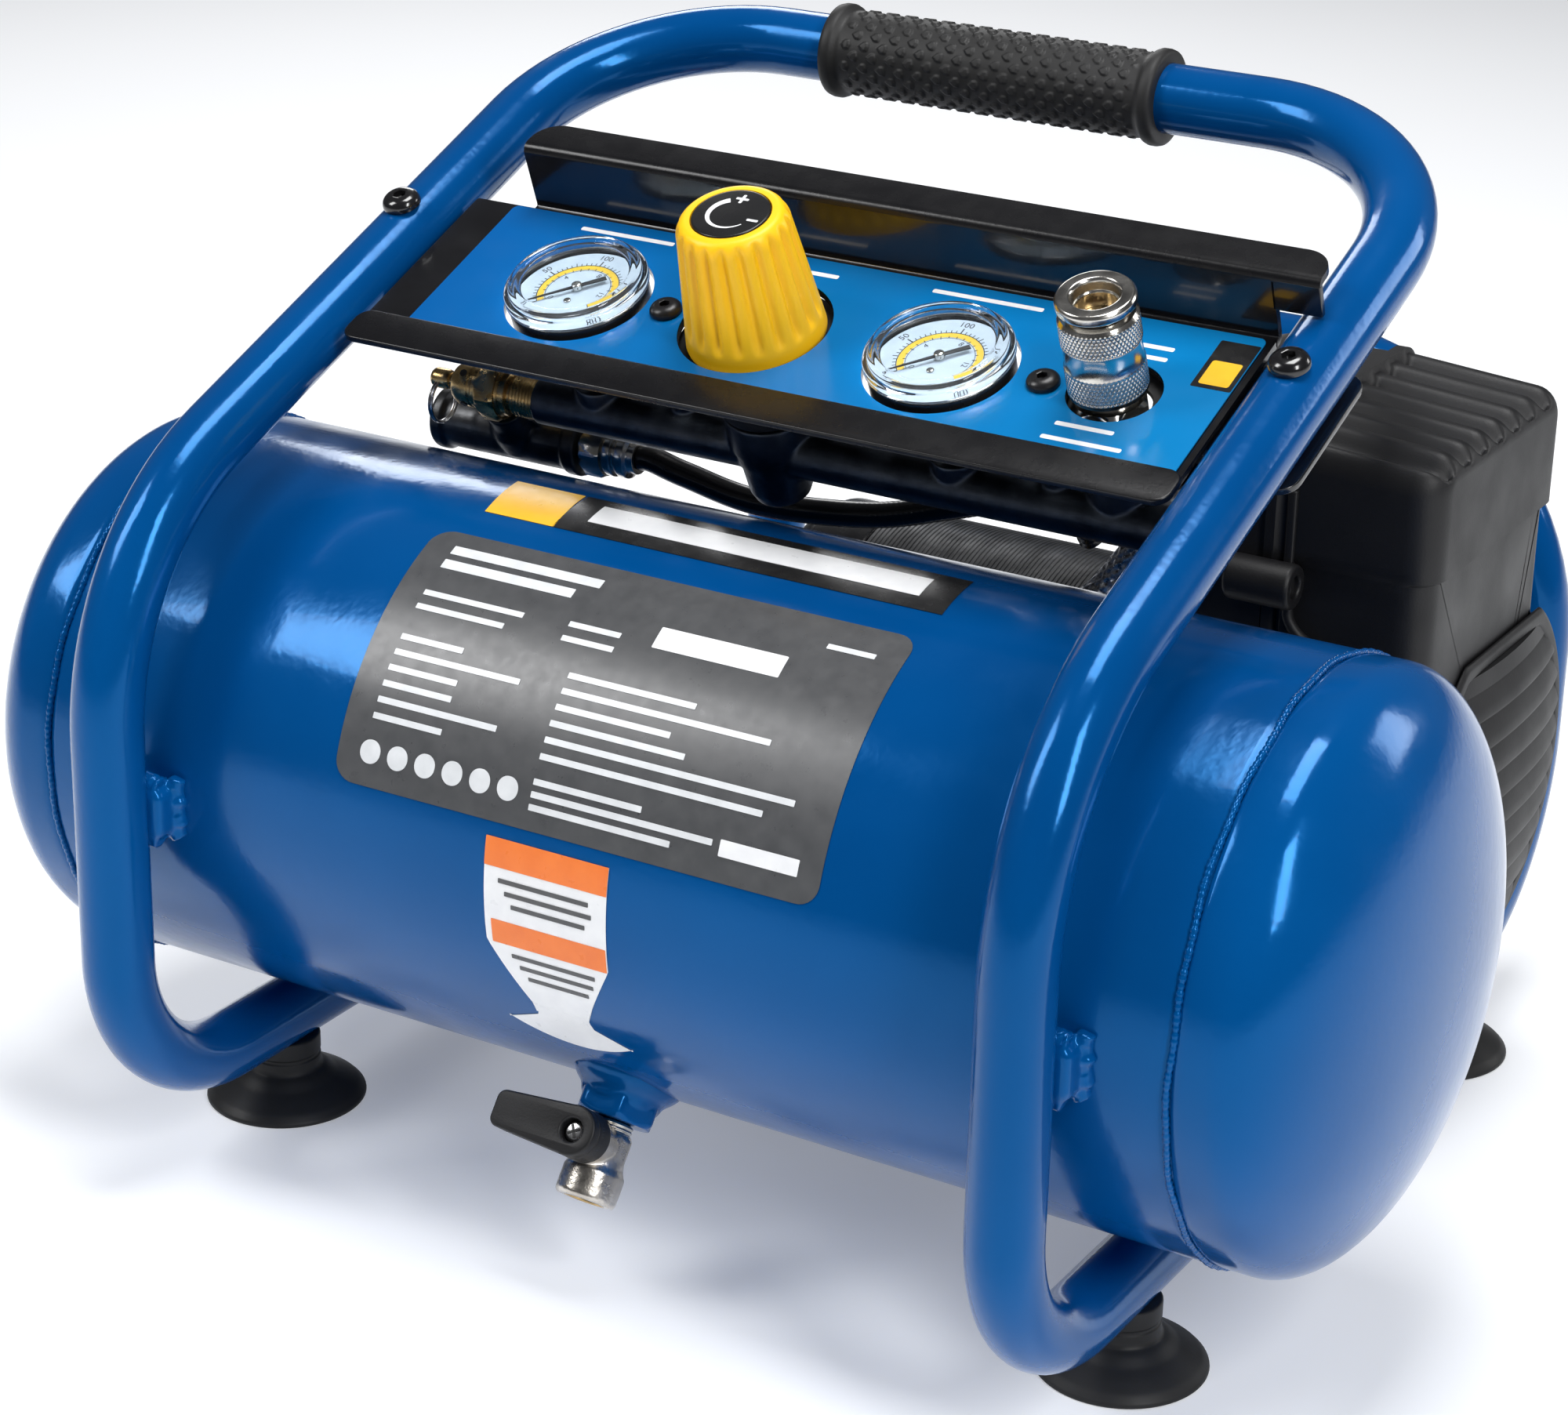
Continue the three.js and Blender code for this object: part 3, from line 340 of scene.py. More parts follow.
def clear_plastic():
    """Clear moulded cap. Lamps shine through it, so that the dial behind is lit."""
    made = surface("clear_plastic", (35, 2, (0.3, (0.80, 0.84, 0.87)), (0.8, (0.86, 0.89, 0.91))),
                   (120, 4, 0.01, 0.05), [((130, 2), 0.00006, 0.12)], Transmission_Weight=1.0, IOR=1.34)
    tree = made.node_tree
    glossy = tree.nodes["Principled BSDF"].outputs[0]
    through = add_node(tree, "ShaderNodeBsdfTransparent", None, {"Color": (0.93, 0.95, 0.96, 1)}).outputs[0]
    shadow = add_node(tree, "ShaderNodeLightPath").outputs["Is Shadow Ray"]
    mixed = add_node(tree, "ShaderNodeMixShader", None, {0: shadow, 1: glossy, 2: through})
    tree.links.new(mixed.outputs[0], tree.nodes["Material Output"].inputs["Surface"])
    return made


MATERIALS = {
    "blue": blue_paint(),
    "gloss_black": surface("black_paint", (30, 3, (0.3, (0.004, 0.004, 0.005)), (0.8, (0.010, 0.010, 0.011))),
                           (90, 5, 0.13, 0.26), [((520, 1), 0.00010, 0.22)], Coat_Weight=0.4, Coat_Roughness=0.08),
    "satin_black": surface("satin_black", (40, 3, (0.3, (0.003, 0.003, 0.004)), (0.8, (0.006, 0.006, 0.007))),
                           (140, 5, 0.25, 0.30), [((900, 2), 0.00008, 0.35)], Specular_IOR_Level=0.35),
    "face": face_label(),
    "plastic": moulded("black_plastic", (0.005, 0.005, 0.006), (0.010, 0.010, 0.011), 0.44, 0.56),
    "smooth_plastic": moulded("smooth_black_plastic", (0.008, 0.008, 0.009), (0.016, 0.016, 0.017), 0.22, 0.34,
                              900, 0.00003),
    "rubber": moulded("black_rubber", (0.010, 0.010, 0.010), (0.020, 0.020, 0.021), 0.46, 0.66, 1100, 0.00006),
    "hose": moulded("hose_rubber", (0.006, 0.006, 0.007), (0.012, 0.012, 0.012), 0.20, 0.32, 700, 0.00003),
    "yellow": moulded("yellow_plastic", (0.96, 0.52, 0.006), (0.99, 0.58, 0.010), 0.34, 0.46, 1300, 0.00003),
    "red": moulded("red_plastic", (0.42, 0.012, 0.010), (0.56, 0.020, 0.014), 0.24, 0.36, 900, 0.00002),
    "nickel": plated("nickel", (0.50, 0.48, 0.44), (0.72, 0.70, 0.66), 0.12, 0.26, 1400, 0.00003),
    "cast_nickel": plated("cast_nickel", (0.42, 0.39, 0.35), (0.72, 0.68, 0.62), 0.20, 0.36, 900, 0.00022),
    "brass": plated("brass", (0.42, 0.28, 0.11), (0.72, 0.52, 0.26), 0.18, 0.36, 1100, 0.00006),
    "steel": plated("steel", (0.36, 0.36, 0.37), (0.62, 0.62, 0.63), 0.18, 0.34, 1600, 0.00003),
    "cast": plated("dark_cast", (0.040, 0.048, 0.062), (0.085, 0.098, 0.120), 0.34, 0.52, 650, 0.00014),
    "cast_dark": plated("darker_cast", (0.045, 0.046, 0.048), (0.095, 0.097, 0.100), 0.34, 0.52, 650, 0.00014),
    "aluminium": plated("cast_aluminium", (0.36, 0.37, 0.38), (0.58, 0.59, 0.60), 0.34, 0.52, 800, 0.00018),
    "laminated": plated("laminated_steel", (0.20, 0.20, 0.21), (0.40, 0.40, 0.42), 0.30, 0.46, 120, 0.0004,
                        (12, 0.3, 0.3)),
    "braid": surface("braided_steel", (900, 2, (0.3, (0.12, 0.12, 0.13)), (0.75, (0.52, 0.53, 0.55))),
                     (1200, 2, 0.22, 0.42), [((2600, 2), 0.0001, 0.5)], Metallic=1.0),
    "clear": clear_plastic(),
    "white": printed("dial_white", (0.33, 0.39, 0.45), (0.39, 0.45, 0.51), 0.5),
    "ink": printed("black_ink", (0.008, 0.008, 0.009), (0.02, 0.02, 0.02), 0.5),
    "ink_yellow": printed("yellow_ink", (0.52, 0.34, 0.02), (0.60, 0.40, 0.03), 0.5),
    "ink_light": printed("light_ink", (0.62, 0.64, 0.66), (0.74, 0.76, 0.78)),
    "label_grey": printed("label_grey", (0.060, 0.062, 0.066), (0.082, 0.084, 0.088), 0.30),
    "label_black": printed("label_black", (0.010, 0.010, 0.011), (0.02, 0.02, 0.02), 0.25),
    "label_amber": printed("label_amber", (0.84, 0.46, 0.02), (0.92, 0.53, 0.03), 0.30),
    "label_orange": printed("label_orange", (0.80, 0.17, 0.02), (0.88, 0.21, 0.03), 0.30),
    "label_white": printed("label_white", (0.78, 0.79, 0.81), (0.86, 0.87, 0.88), 0.30),
}


# Shape helpers: a shape is a pair of lists, corners and faces

def loft(rings, looped=False):
    """Skins rings of equal count. A ring of one point closes the surface, and open ends get a flat cap."""
    corners, faces, starts = [], [], []
    for ring in rings:
        starts.append(len(corners))
        corners.extend(tuple(p) for p in ring)
    count = max(len(ring) for ring in rings)
    last = len(rings) - 1
    for a in range(len(rings) if looped else last):
        b = (a + 1) % len(rings)
        for i in range(count):
            j = (i + 1) % count
            quad = [starts[a] + (i if len(rings[a]) > 1 else 0), starts[a] + (j if len(rings[a]) > 1 else 0),
                    starts[b] + (j if len(rings[b]) > 1 else 0), starts[b] + (i if len(rings[b]) > 1 else 0)]
            face = list(dict.fromkeys(quad))
            if len(face) > 2:
                faces.append(tuple(face))
    if not looped:
        if len(rings[0]) > 1:
            faces.append(tuple(range(count - 1, -1, -1)))
        if len(rings[-1]) > 1:
            faces.append(tuple(range(starts[-1], starts[-1] + count)))
    return corners, faces


def circle(radius, sides=48, centre=(0, 0)):
    return [(centre[0] + radius * math.cos(a), centre[1] + radius * math.sin(a)) for a in full_turn(sides)]


def nut_ring(apothem, z, sides=72, rounding=0.0):
    """A hexagon ring, mixed with the circle that holds its corners down by rounding."""
    limit = apothem * (1.155 - 0.155 * rounding)
    face = TAU / 6
    spokes = [(a, min(apothem / math.cos((a % face) - face / 2), limit)) for a in full_turn(sides)]
    return [(reach * math.cos(a), reach * math.sin(a), z) for a, reach in spokes]


def nut(apothem, low, high, chamfer=0.8):
    """A hexagonal prism with its corners turned off at both ends, as on a real nut."""
    return loft([nut_ring(apothem, z, rounding=rounding) for z, rounding in (
        (low, 1.0), (low + chamfer, 0.15), (high - chamfer, 0.15), (high, 1.0))])


def soften(profile, radius=0.6, steps=3):
    """The profile with its corners rounded, as far as the stretches beside them allow."""
    looped = tuple(profile[0]) == tuple(profile[-1])
    points = [Vector(p) for p in (profile[:-1] if looped else profile)]
    out = []
    for i, here in enumerate(points):
        if not looped and i in (0, len(points) - 1):
            out.append(tuple(here))
            continue
        back = points[i - 1] - here
        on = points[(i + 1) % len(points)] - here
        reach = min(radius, back.length * 0.45, on.length * 0.45)
        start = here + back.normalized() * reach
        end = here + on.normalized() * reach
        for k in range(steps + 1):
            t = k / steps
            out.append(tuple(start * (1 - t) ** 2 + here * 2 * t * (1 - t) + end * t * t))
    return out + [out[0]] if looped else out


def turned_rings(profile, sides, radius_at=None):
    """Rings about Z from (radius, height) pairs. radius_at can change the radius at an angle and a height."""
    rings = []
    for r, z in profile:
        spokes = [(a, radius_at(a, z, r) if radius_at else r) for a in full_turn(sides)] if r > 1e-6 else [(0, 0)]
        rings.append([(reach * math.cos(a), reach * math.sin(a), z) for a, reach in spokes])
    return rings


def lathe(profile, sides=64, radius_at=None):
    looped = tuple(profile[0]) == tuple(profile[-1])
    return loft(turned_rings(profile[:-1] if looped else profile, sides, radius_at), looped)


def rod(radius, low, high, sides=48):
    return lathe([(0, low), (radius, low), (radius, high), (0, high)], sides)


def inset(outline, distance):
    """A counter-clockwise outline moved inwards."""
    out = []
    for i, here in enumerate(outline):
        into = (Vector(here) - Vector(outline[i - 1])).normalized()
        onward = (Vector(outline[(i + 1) % len(outline)]) - Vector(here)).normalized()
        n1 = Vector((-into.y, into.x))
        n2 = Vector((-onward.y, onward.x))
        move = (n1 + n2) * (distance / max(1 + n1.dot(n2), 0.5))
        out.append((here[0] + move.x, here[1] + move.y))
    return out


def prism(outline, low, high, bevel=0.4, steps=3):
    """An outline drawn up Z, with rounded edges."""
    def edge(turn, z):
        return [(x, y, z) for x, y in inset(outline, bevel * (1 - math.sin(turn)))]
    return loft([edge(a, low + bevel * (1 - math.cos(a))) for a in quarter(steps)]
                + [edge(a, high - bevel * (1 - math.cos(a))) for a in reversed(quarter(steps))])


def rounded_rect(x0, x1, y0, y1, radius, steps=6):
    out = []
    for cx, cy, start in ((x1 - radius, y0 + radius, -90), (x1 - radius, y1 - radius, 0),
                          (x0 + radius, y1 - radius, 90), (x0 + radius, y0 + radius, 180)):
        for k in range(steps + 1):
            a = math.radians(start + 90 * k / steps)
            out.append((cx + radius * math.cos(a), cy + radius * math.sin(a)))
    return out


def block(x0, x1, y0, y1, z0, z1, radius=1.0, bevel=0.4):
    return prism(rounded_rect(x0, x1, y0, y1, radius), z0, z1, bevel)


def bent_path(corners, radii, steps=14):
    """Straight runs between corners, each corner rounded by its bend radius."""
    corners = [Vector(c) for c in corners]
    points = [corners[0]]
    for i in range(1, len(corners) - 1):
        into = (corners[i] - corners[i - 1]).normalized()
        out = (corners[i + 1] - corners[i]).normalized()
        angle = into.angle(out)
        start = corners[i] - into * radii[i - 1] * math.tan(angle / 2)
        side = (out - into * math.cos(angle)).normalized()
        centre = start + side * radii[i - 1]
        for k in range(steps + 1):
            turn = angle * k / steps
            points.append(centre + (into * math.sin(turn) - side * math.cos(turn)) * radii[i - 1])
    return points + [corners[-1]]


def smooth_path(points, per_span=10):
    """A Catmull-Rom curve through given points."""
    points = [Vector(p) for p in points]
    padded = [points[0] * 2 - points[1]] + points + [points[-1] * 2 - points[-2]]
    out = []
    for i in range(1, len(padded) - 2):
        p0, p1, p2, p3 = padded[i - 1:i + 3]
        for k in range(per_span):
            t = k / per_span
            out.append(0.5 * (2 * p1 + (p2 - p0) * t + (2 * p0 - 5 * p1 + 4 * p2 - p3) * t * t
                              + (3 * p1 - p0 - 3 * p2 + p3) * t ** 3))
    return out + [points[-1]]


def evenly(points, spacing):
    """The same line, with points at an even spacing."""
    out, carry = [points[0]], 0.0
    for a, b in zip(points, points[1:]):
        length = (b - a).length
        at = spacing - carry
        while at < length:
            out.append(a + (b - a) * (at / length))
            at += spacing
        carry = (carry + length) % spacing
    return out + [points[-1]] if (points[-1] - out[-1]).length > spacing * 0.3 else out[:-1] + [points[-1]]


def sweep(points, radius, sides=32, radius_at=None, looped=False):
    """A tube along a path, turned as little as possible from one point to the next."""
    rings = []
    side = None
    run = 0.0
    last = len(points) - 1
    for i, here in enumerate(points):
        if looped:
            ahead = (points[(i + 1) % len(points)] - points[i - 1]).normalized()
        else:
            ahead = (points[min(i + 1, last)] - points[max(i - 1, 0)]).normalized()
        if side is None:
            side = ahead.orthogonal().normalized()
        side = (side - ahead * side.dot(ahead)).normalized()
        other = ahead.cross(side)
        run += (here - points[i - 1]).length if i else 0
        ring = []
        for k in range(sides):
            a = TAU * k / sides
            r = radius_at(a, run) if radius_at else radius
            ring.append(here + side * (r * math.cos(a)) + other * (r * math.sin(a)))
        rings.append(ring)
    return loft(rings, looped)


def moved(shape, matrix):
    return [tuple(matrix @ Vector(c)) for c in shape[0]], shape[1]


def shifted(shape, x=0.0, y=0.0, z=0.0):
    return [(cx + x, cy + y, cz + z) for cx, cy, cz in shape[0]], shape[1]


def joined(*shapes):
    corners, faces = [], []
    for shape in shapes:
        start = len(corners)
        corners.extend(shape[0])
        faces.extend(tuple(i + start for i in face) for face in shape[1])
    return corners, faces


def plate(outlines, low, high, bevel=0.0):
    """A flat sheet whose first outline is its edge and whose others are holes."""
    curve = bpy.data.curves.new("plate", "CURVE")
    curve.dimensions = "2D"
    curve.fill_mode = "BOTH"
    curve.extrude = (high - low) / 2 - bevel
    curve.bevel_depth = bevel
    curve.bevel_resolution = 2
    curve.offset = -bevel
    for outline in outlines:
        spline = curve.splines.new("POLY")
        spline.points.add(len(outline) - 1)
        spline.use_cyclic_u = True
        for point, (x, y) in zip(spline.points, outline):
            point.co = (x, y, 0, 1)
    return shifted(released(held(curve)), z=(low + high) / 2)


def held(data):
    """A throwaway object that holds a mesh or a curve while it is worked on."""
    holder = bpy.data.objects.new("holder", data)
    bpy.context.scene.collection.objects.link(holder)
    return holder


def released(*holders):
    """The final shape of the first throwaway object. All of them go, with what they held."""
    found = holders[0].evaluated_get(bpy.context.evaluated_depsgraph_get())
    mesh = found.to_mesh()
    shape = [tuple(v.co) for v in mesh.vertices], [tuple(p.vertices) for p in mesh.polygons]
    found.to_mesh_clear()
    for holder in holders:
        data = holder.data
        bpy.data.objects.remove(holder)
        (bpy.data.meshes if isinstance(data, bpy.types.Mesh) else bpy.data.curves).remove(data)
    return shape


def mesh_of(name, shape, gap):
    """A closed mesh facing outwards, with the corners that lie within a gap made one."""
    mesh = bpy.data.meshes.new(name)
    mesh.from_pydata(shape[0], [], shape[1])
    build = bmesh.new()
    build.from_mesh(mesh)
    bmesh.ops.remove_doubles(build, verts=build.verts, dist=gap)
    bmesh.ops.recalc_face_normals(build, faces=build.faces)
    build.to_mesh(mesh)
    build.free()
    return mesh


def figures(text, size):
    """Numbers as a thin print, centred on the origin."""
    curve = bpy.data.curves.new("figures", "FONT")
    curve.body = text
    curve.size = size
    curve.align_x = "CENTER"
    curve.align_y = "CENTER"
    curve.extrude = 0.02
    curve.resolution_u = 4
    return released(held(curve))


def fused(shape, voxel, smoothing=3):
    """One cast body from overlapping shapes, with soft inner corners."""
    mesh = bpy.data.meshes.new("cast")
    mesh.from_pydata(shape[0], [], shape[1])
    body = held(mesh)
    remesh = body.modifiers.new("remesh", "REMESH")
    remesh.mode = "VOXEL"
    remesh.voxel_size = voxel
    smooth = body.modifiers.new("smooth", "SMOOTH")
    smooth.iterations = smoothing
    smooth.factor = 0.5
    return released(body)


def bored(shape, tool):
    """A shape with another cut out of it."""
    body, cutter = held(mesh_of("bored", shape, 1e-4)), held(mesh_of("cutter", tool, 1e-4))
    cut = body.modifiers.new("cut", "BOOLEAN")
    cut.object = cutter
    cut.operation = "DIFFERENCE"
    cut.solver = "EXACT"
    return released(body, cutter)


def piece(name, shape, material, node, place=Matrix.Identity(4), covers=True, sharp=35):
    """A shown piece that rides with a CAD node's body and, unless it is an extra, stands for that node."""
    mesh = mesh_of(name, moved(shape, Matrix.Scale(MM, 4) @ place), 2e-6)
    mesh.polygons.foreach_set("use_smooth", [True] * len(mesh.polygons))
    mesh.set_sharp_from_angle(angle=math.radians(sharp))
    mesh.materials.append(MATERIALS[material])
    made = bpy.data.objects.new(name, mesh)
    bpy.context.scene.collection.objects.link(made)
    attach(made, BODY_OF[node])
    if covers:
        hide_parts(node)


def extra(name, shape, material, node, place=Matrix.Identity(4), sharp=35):
    piece(name, shape, material, node, place, False, sharp)


def weld_bead(points, radius, looped=False):
    """A weld laid along a line, with the ripples of its puddle."""
    def ripple(_, run):
        return radius * (1 + 0.13 * math.sin(TAU * run / 1.7) + 0.10 * math.sin(TAU * run / 5.3))
    return sweep(evenly(points, 0.45), radius, 12, ripple, looped)


# Roll cage, grip and feet

def cage(side, name):
    x = side * HALF_TRACK
    middle = side * 0.3
    corners = [(middle, HANDLE_Y, HANDLE_Z), (x, HANDLE_Y, HANDLE_Z), (x, FRONT_Y, KNEE_Z), (x, FRONT_Y, RAIL_Z),
               (x, REAR_Y, RAIL_Z), (x, REAR_Y, REAR_BAR_Z), (middle, REAR_Y, REAR_BAR_Z)]
    path = bent_path(corners, list(BEND.values()), 20)
    piece(f"cage_tube_{name}", sweep(path, TUBE_R, 44), "blue", f"cage_{name}")


def rear_weld():
    middle = Vector((0, REAR_Y, REAR_BAR_Z))
    ring = [middle + Vector((0, math.cos(a), math.sin(a))) * (TUBE_R - 0.2) for a in full_turn(90)]
    extra("rear_bar_weld", weld_bead(ring, 1.1, True), "blue", "cage_left")


def grip_height(angle, along):
    """How far the grip's raised arrowheads stand at a place on its skin."""
    rows, pitch = 24, 6.2
    lane = angle / TAU * rows
    row = math.floor(lane)
    across = abs(lane - row - 0.5) * 2
    at = (along / pitch + 0.5 * (row % 2)) % 1.0
    back = at - 0.28 * across
    if across > 0.86 or back < 0.10 or back > 0.62 - 0.34 * across:
        return 0.0
    edge = min(0.86 - across, (back - 0.10) * 2.2, (0.62 - 0.34 * across - back) * 2.2)
    return 0.55 * min(edge / 0.10, 1.0)


def grip():
    length = GRIP["right"] - GRIP["left"]
    r, lip = GRIP["r"], GRIP["lip"]
    ends = [(TUBE_R, 0), (lip - 1.2, 0), (lip - 0.3, 0.5), (lip, 1.6), (lip, 3.2), (lip - 0.4, 4.2),
            (r + 0.2, 5.0), (r, 6.2)]
    start, stop, step = 6.8, length - 6.8, 0.38
    skin = [(r, start + k * step) for k in range(int((stop - start) / step) + 1)]
    far = [(pr, length - pz) for pr, pz in reversed(ends)]
    bore = [(TUBE_R - 0.4, length), (TUBE_R - 0.4, 0)]

    def raised(angle, z, radius):
        if not start < z < stop or radius < r - 0.01:
            return radius
        fade = min((z - start) / 1.5, (stop - z) / 1.5, 1.0)
        return radius + fade * grip_height(angle, z)
    shape = lathe(ends + skin + far + bore + [ends[0]], 288, raised)
    origin = Vector((GRIP["left"], HANDLE_Y, HANDLE_Z))
    piece("grip_sleeve", shape, "rubber", "handle_grip", placed(origin, X_AXIS, Y_AXIS), sharp=60)


def foot(name, x, y):
    """Suction-cup foot: a neck under the rail with a collar, over a flared cup."""
    profile = [(0, 3.4), (9, 3.2), (17, 1.4), (21.2, 0), (23.2, 0), (23.7, 0.5), (23.5, 1.4), (21.8, 3.2),
               (18.4, 5.2), (15.2, 7.0), (12.6, 9.2), (10.9, 10.2), (10.4, 11.2), (10.4, 13.6), (10.0, 14.0),
               (10.0, 14.8), (10.4, 15.2), (10.4, 20.5), (0, 20.5)]
    shape = lathe(soften(profile, 0.9, 4), 72)
    piece(f"foot_cup_{name}", shape, "rubber", f"foot_{name}", Matrix.Translation((x, y, 0)))


# Tank

def along_tank(x=0.0):
    return placed(TANK_CENTRE + x * X_AXIS, X_AXIS, -Z_AXIS)


def tank_shell():
    wall, lap = 2.5, 171.5
    half = [(TANK_R, 0), (TANK_R, lap - 1.4), (TANK_R - 0.15, lap - 0.5), (TANK_R - 0.75, lap + 0.8),
            (TANK_R - 0.8, TANK_SEAM)]
    outer = [(r, -z) for r, z in reversed(half)] + half[1:]
    inner = [(TANK_R - wall - 0.8, TANK_SEAM), (TANK_R - wall - 0.8, -TANK_SEAM)]
    piece("tank_barrel", lathe(outer + inner + [outer[0]], 160), "blue", "tank_shell", along_tank(), sharp=50)


def tank_head(side, name):
    """Dished head whose rim laps the end of the shell."""
    rise = TANK_HALF - TANK_SEAM
    dome = [(TANK_R * math.cos(a), rise * math.sin(a)) for a in quarter(26)]
    inner = [(r * 0.965, z * 0.93) for r, z in reversed(dome)]
    dome[-1] = (0, rise)
    inner[0] = (0, inner[0][1])
    rim = [(TANK_R - 3, -9.0), (TANK_R - 1.0, -9.2), (TANK_R - 0.35, -8.7), (TANK_R - 0.05, -7.6), (TANK_R, -6)]
    shape = lathe(rim + dome + inner + [rim[0]], 160)
    matrix = along_tank(side * TANK_SEAM) @ (Matrix.Identity(4) if side > 0 else Matrix.Rotation(math.pi, 4, "X"))
    piece(f"tank_dome_{name}", shape, "blue", f"tank_head_{name}", matrix, sharp=50)


def saddle(side, name):
    """Plate between the tank and the front upright, run into one lump with its welds."""
    x = side * HALF_TRACK
    standing = placed(Vector((x, FRONT_Y + 16.5, 0)), -Y_AXIS, X_AXIS)
    lumps = [moved(block(-12.5, 12.5, TANK_CENTRE.z - 9, TANK_CENTRE.z + 7, 0, 11.5, 4, 2.5), standing)]
    for end in (-1, 1):
        z = TANK_CENTRE.z - 1 + end * 7.5
        across = [Vector((x - 10 + 20 * k / 12, FRONT_Y + 8.2 + 0.8 * abs(k - 6) / 6, z + 0.6 * math.sin(2 * k)))
                  for k in range(13)]
        up = [TANK_CENTRE + Vector((x + end * (12 + 0.6 * math.sin(t)),
                                    -math.sqrt(TANK_R ** 2 - (t - 1) ** 2) - 0.6, t)) for t in range(-10, 9)]
        lumps += [weld_bead(across, 3.2), weld_bead(up, 2.4)]
    extra(f"tank_saddle_{name}", fused(joined(*lumps), 0.6), "blue", "tank_shell", sharp=80)


def seam_weld(side, name):
    """The bead that closes the lap of the head and the shell."""
    bead = []
    for a in full_turn(420):
        x = side * (172.4 + 0.35 * math.sin(7 * a) + 0.25 * math.sin(19 * a + 1))
        bead.append(TANK_CENTRE + Vector((x, TANK_R * math.cos(a) * 0.999, TANK_R * math.sin(a) * 0.999)))
    extra(f"seam_weld_{name}", weld_bead(bead, 0.9, True), "blue", "tank_shell")


def drain_bung():
    """Flared nut welded under the tank, cast into one lump with its weld."""
    flare = lathe(soften([(0, TANK_R - 6), (16.5, TANK_R - 6), (15.5, TANK_R - 0.5), (13.6, TANK_R + 1.8),
                          (11.6, TANK_R + 3.4), (11, TANK_R + 6), (0, TANK_R + 6)], 1.2), 48)
    body = fused(joined(flare, nut(10.4, TANK_R + 3.2, BUNG_END, 1.4)), 0.5)
    extra("drain_bung", body, "blue", "tank_shell", DRAIN_AT, sharp=70)


# Labels, plain and without lettering, wrapped on the tank

FILM = 0.12
FILM_LIFT = 0.1
PRINT_LIFT = 0.24


def on_tank(x, radius, degrees):
    """A place at a height in degrees up from the tank's front."""
    a = math.radians(degrees)
    return x, TANK_CENTRE.y - radius * math.cos(a), TANK_CENTRE.z + radius * math.sin(a)


def wrapped(edges_at, start, stop, radius, steps=60, rows=24):
    """A film on the tank: edges_at gives its lower and upper edge, in degrees, at each x."""
    rings = []
    for i in range(steps + 1):
        t = i / steps
        x = start + (stop - start) * (0.5 - 0.5 * math.cos(math.pi * t))
        low, high = edges_at(x)
        levels = [low + (high - low) * k / rows for k in range(rows + 1)]
        rings.append([on_tank(x, radius + FILM, level) for level in levels]
                     + [on_tank(x, radius, level) for level in reversed(levels)])
    return loft(rings)


def label_edges(x0, x1, low, high, corner):
    """Edges of a rounded rectangle on the tank; the corner is in millimetres."""
    per_mm = math.degrees(1 / TANK_R)

    def edges(x):
        near = max(corner - (x - x0), corner - (x1 - x), 0.0)
        cut = (corner - math.sqrt(max(corner ** 2 - near ** 2, 0.0))) * per_mm
        return low + cut, high - cut
    return edges


def tank_film(name, x0, x1, low, high, material, corner=0.3, lift=PRINT_LIFT):
    shape = wrapped(label_edges(x0, x1, low, high, corner), x0, x1, TANK_R + lift)
    extra(name, shape, material, "tank_shell", sharp=30)


def slanted_film(name, x0, x1, low, high, lean, material, lift=FILM_LIFT):
    """A parallelogram on the tank: its upper edge is shifted by lean."""
    inner, outer = TANK_R + lift, TANK_R + lift + FILM
    rings = []
    for share in (k / 24 for k in range(25)):
        rings.append([on_tank(x + lean * share, radius, low + (high - low) * share)
                      for x, radius in ((x0, inner), (x1, inner), (x1, outer), (x0, outer))])
    extra(name, loft(rings), material, "tank_shell", sharp=30)


def tank_labels():
    tank_film("info_label", -74.6, 74.0, 14.0, 69.5, "label_grey", 6.0, FILM_LIFT)
    rows = [(-66, -18, 63.5), (-66, -24, 59.8), (-66, -34, 53.0), (-66, -38, 49.8), (-66, -46, 43.0),
            (-66, -26, 39.8), (-66, -44, 36.6), (-66, -44, 33.4), (-66, -28, 30.2), (-66, -44, 27.0),
            (-20, -4, 53.6), (-20, -4, 50.4), (-13, 26, 43.4), (-13, 50, 40.2), (-13, 22, 37.0), (-13, 28, 33.8),
            (-13, 62, 30.6), (-13, 54, 27.4), (-13, 20, 22.6), (-13, 42, 20.2), (-13, 30, 17.8), (52, 66, 62.0)]
    for number, (x0, x1, at) in enumerate(rows, 1):
        tank_film(f"info_line_{number:02d}", x0, x1, at, at + (2.2 if number < 3 else 1.2), "ink_light", 0.2)
    tank_film("info_box_upper", 6.0, 44.0, 53.4, 58.2, "label_white")
    tank_film("info_box_lower", 44.3, 67.3, 18.7, 21.8, "label_white")
    for number in range(6):
        x0 = -67.5 + number * 8.8
        tank_film(f"info_disc_{number + 1}", x0, x0 + 6.4, 18.4, 23.0, "ink_light", 3.1)
    slanted_film("strip_film", -45.5, 74.0, 77.5, 93.0, -2.5, "label_black")
    slanted_film("strip_amber", -67.5, -45.0, 77.5, 93.0, -4.0, "label_amber")
    slanted_film("strip_light", -38.0, 64.0, 81.8, 89.5, -1.5, "label_white", PRINT_LIFT)
    tag()


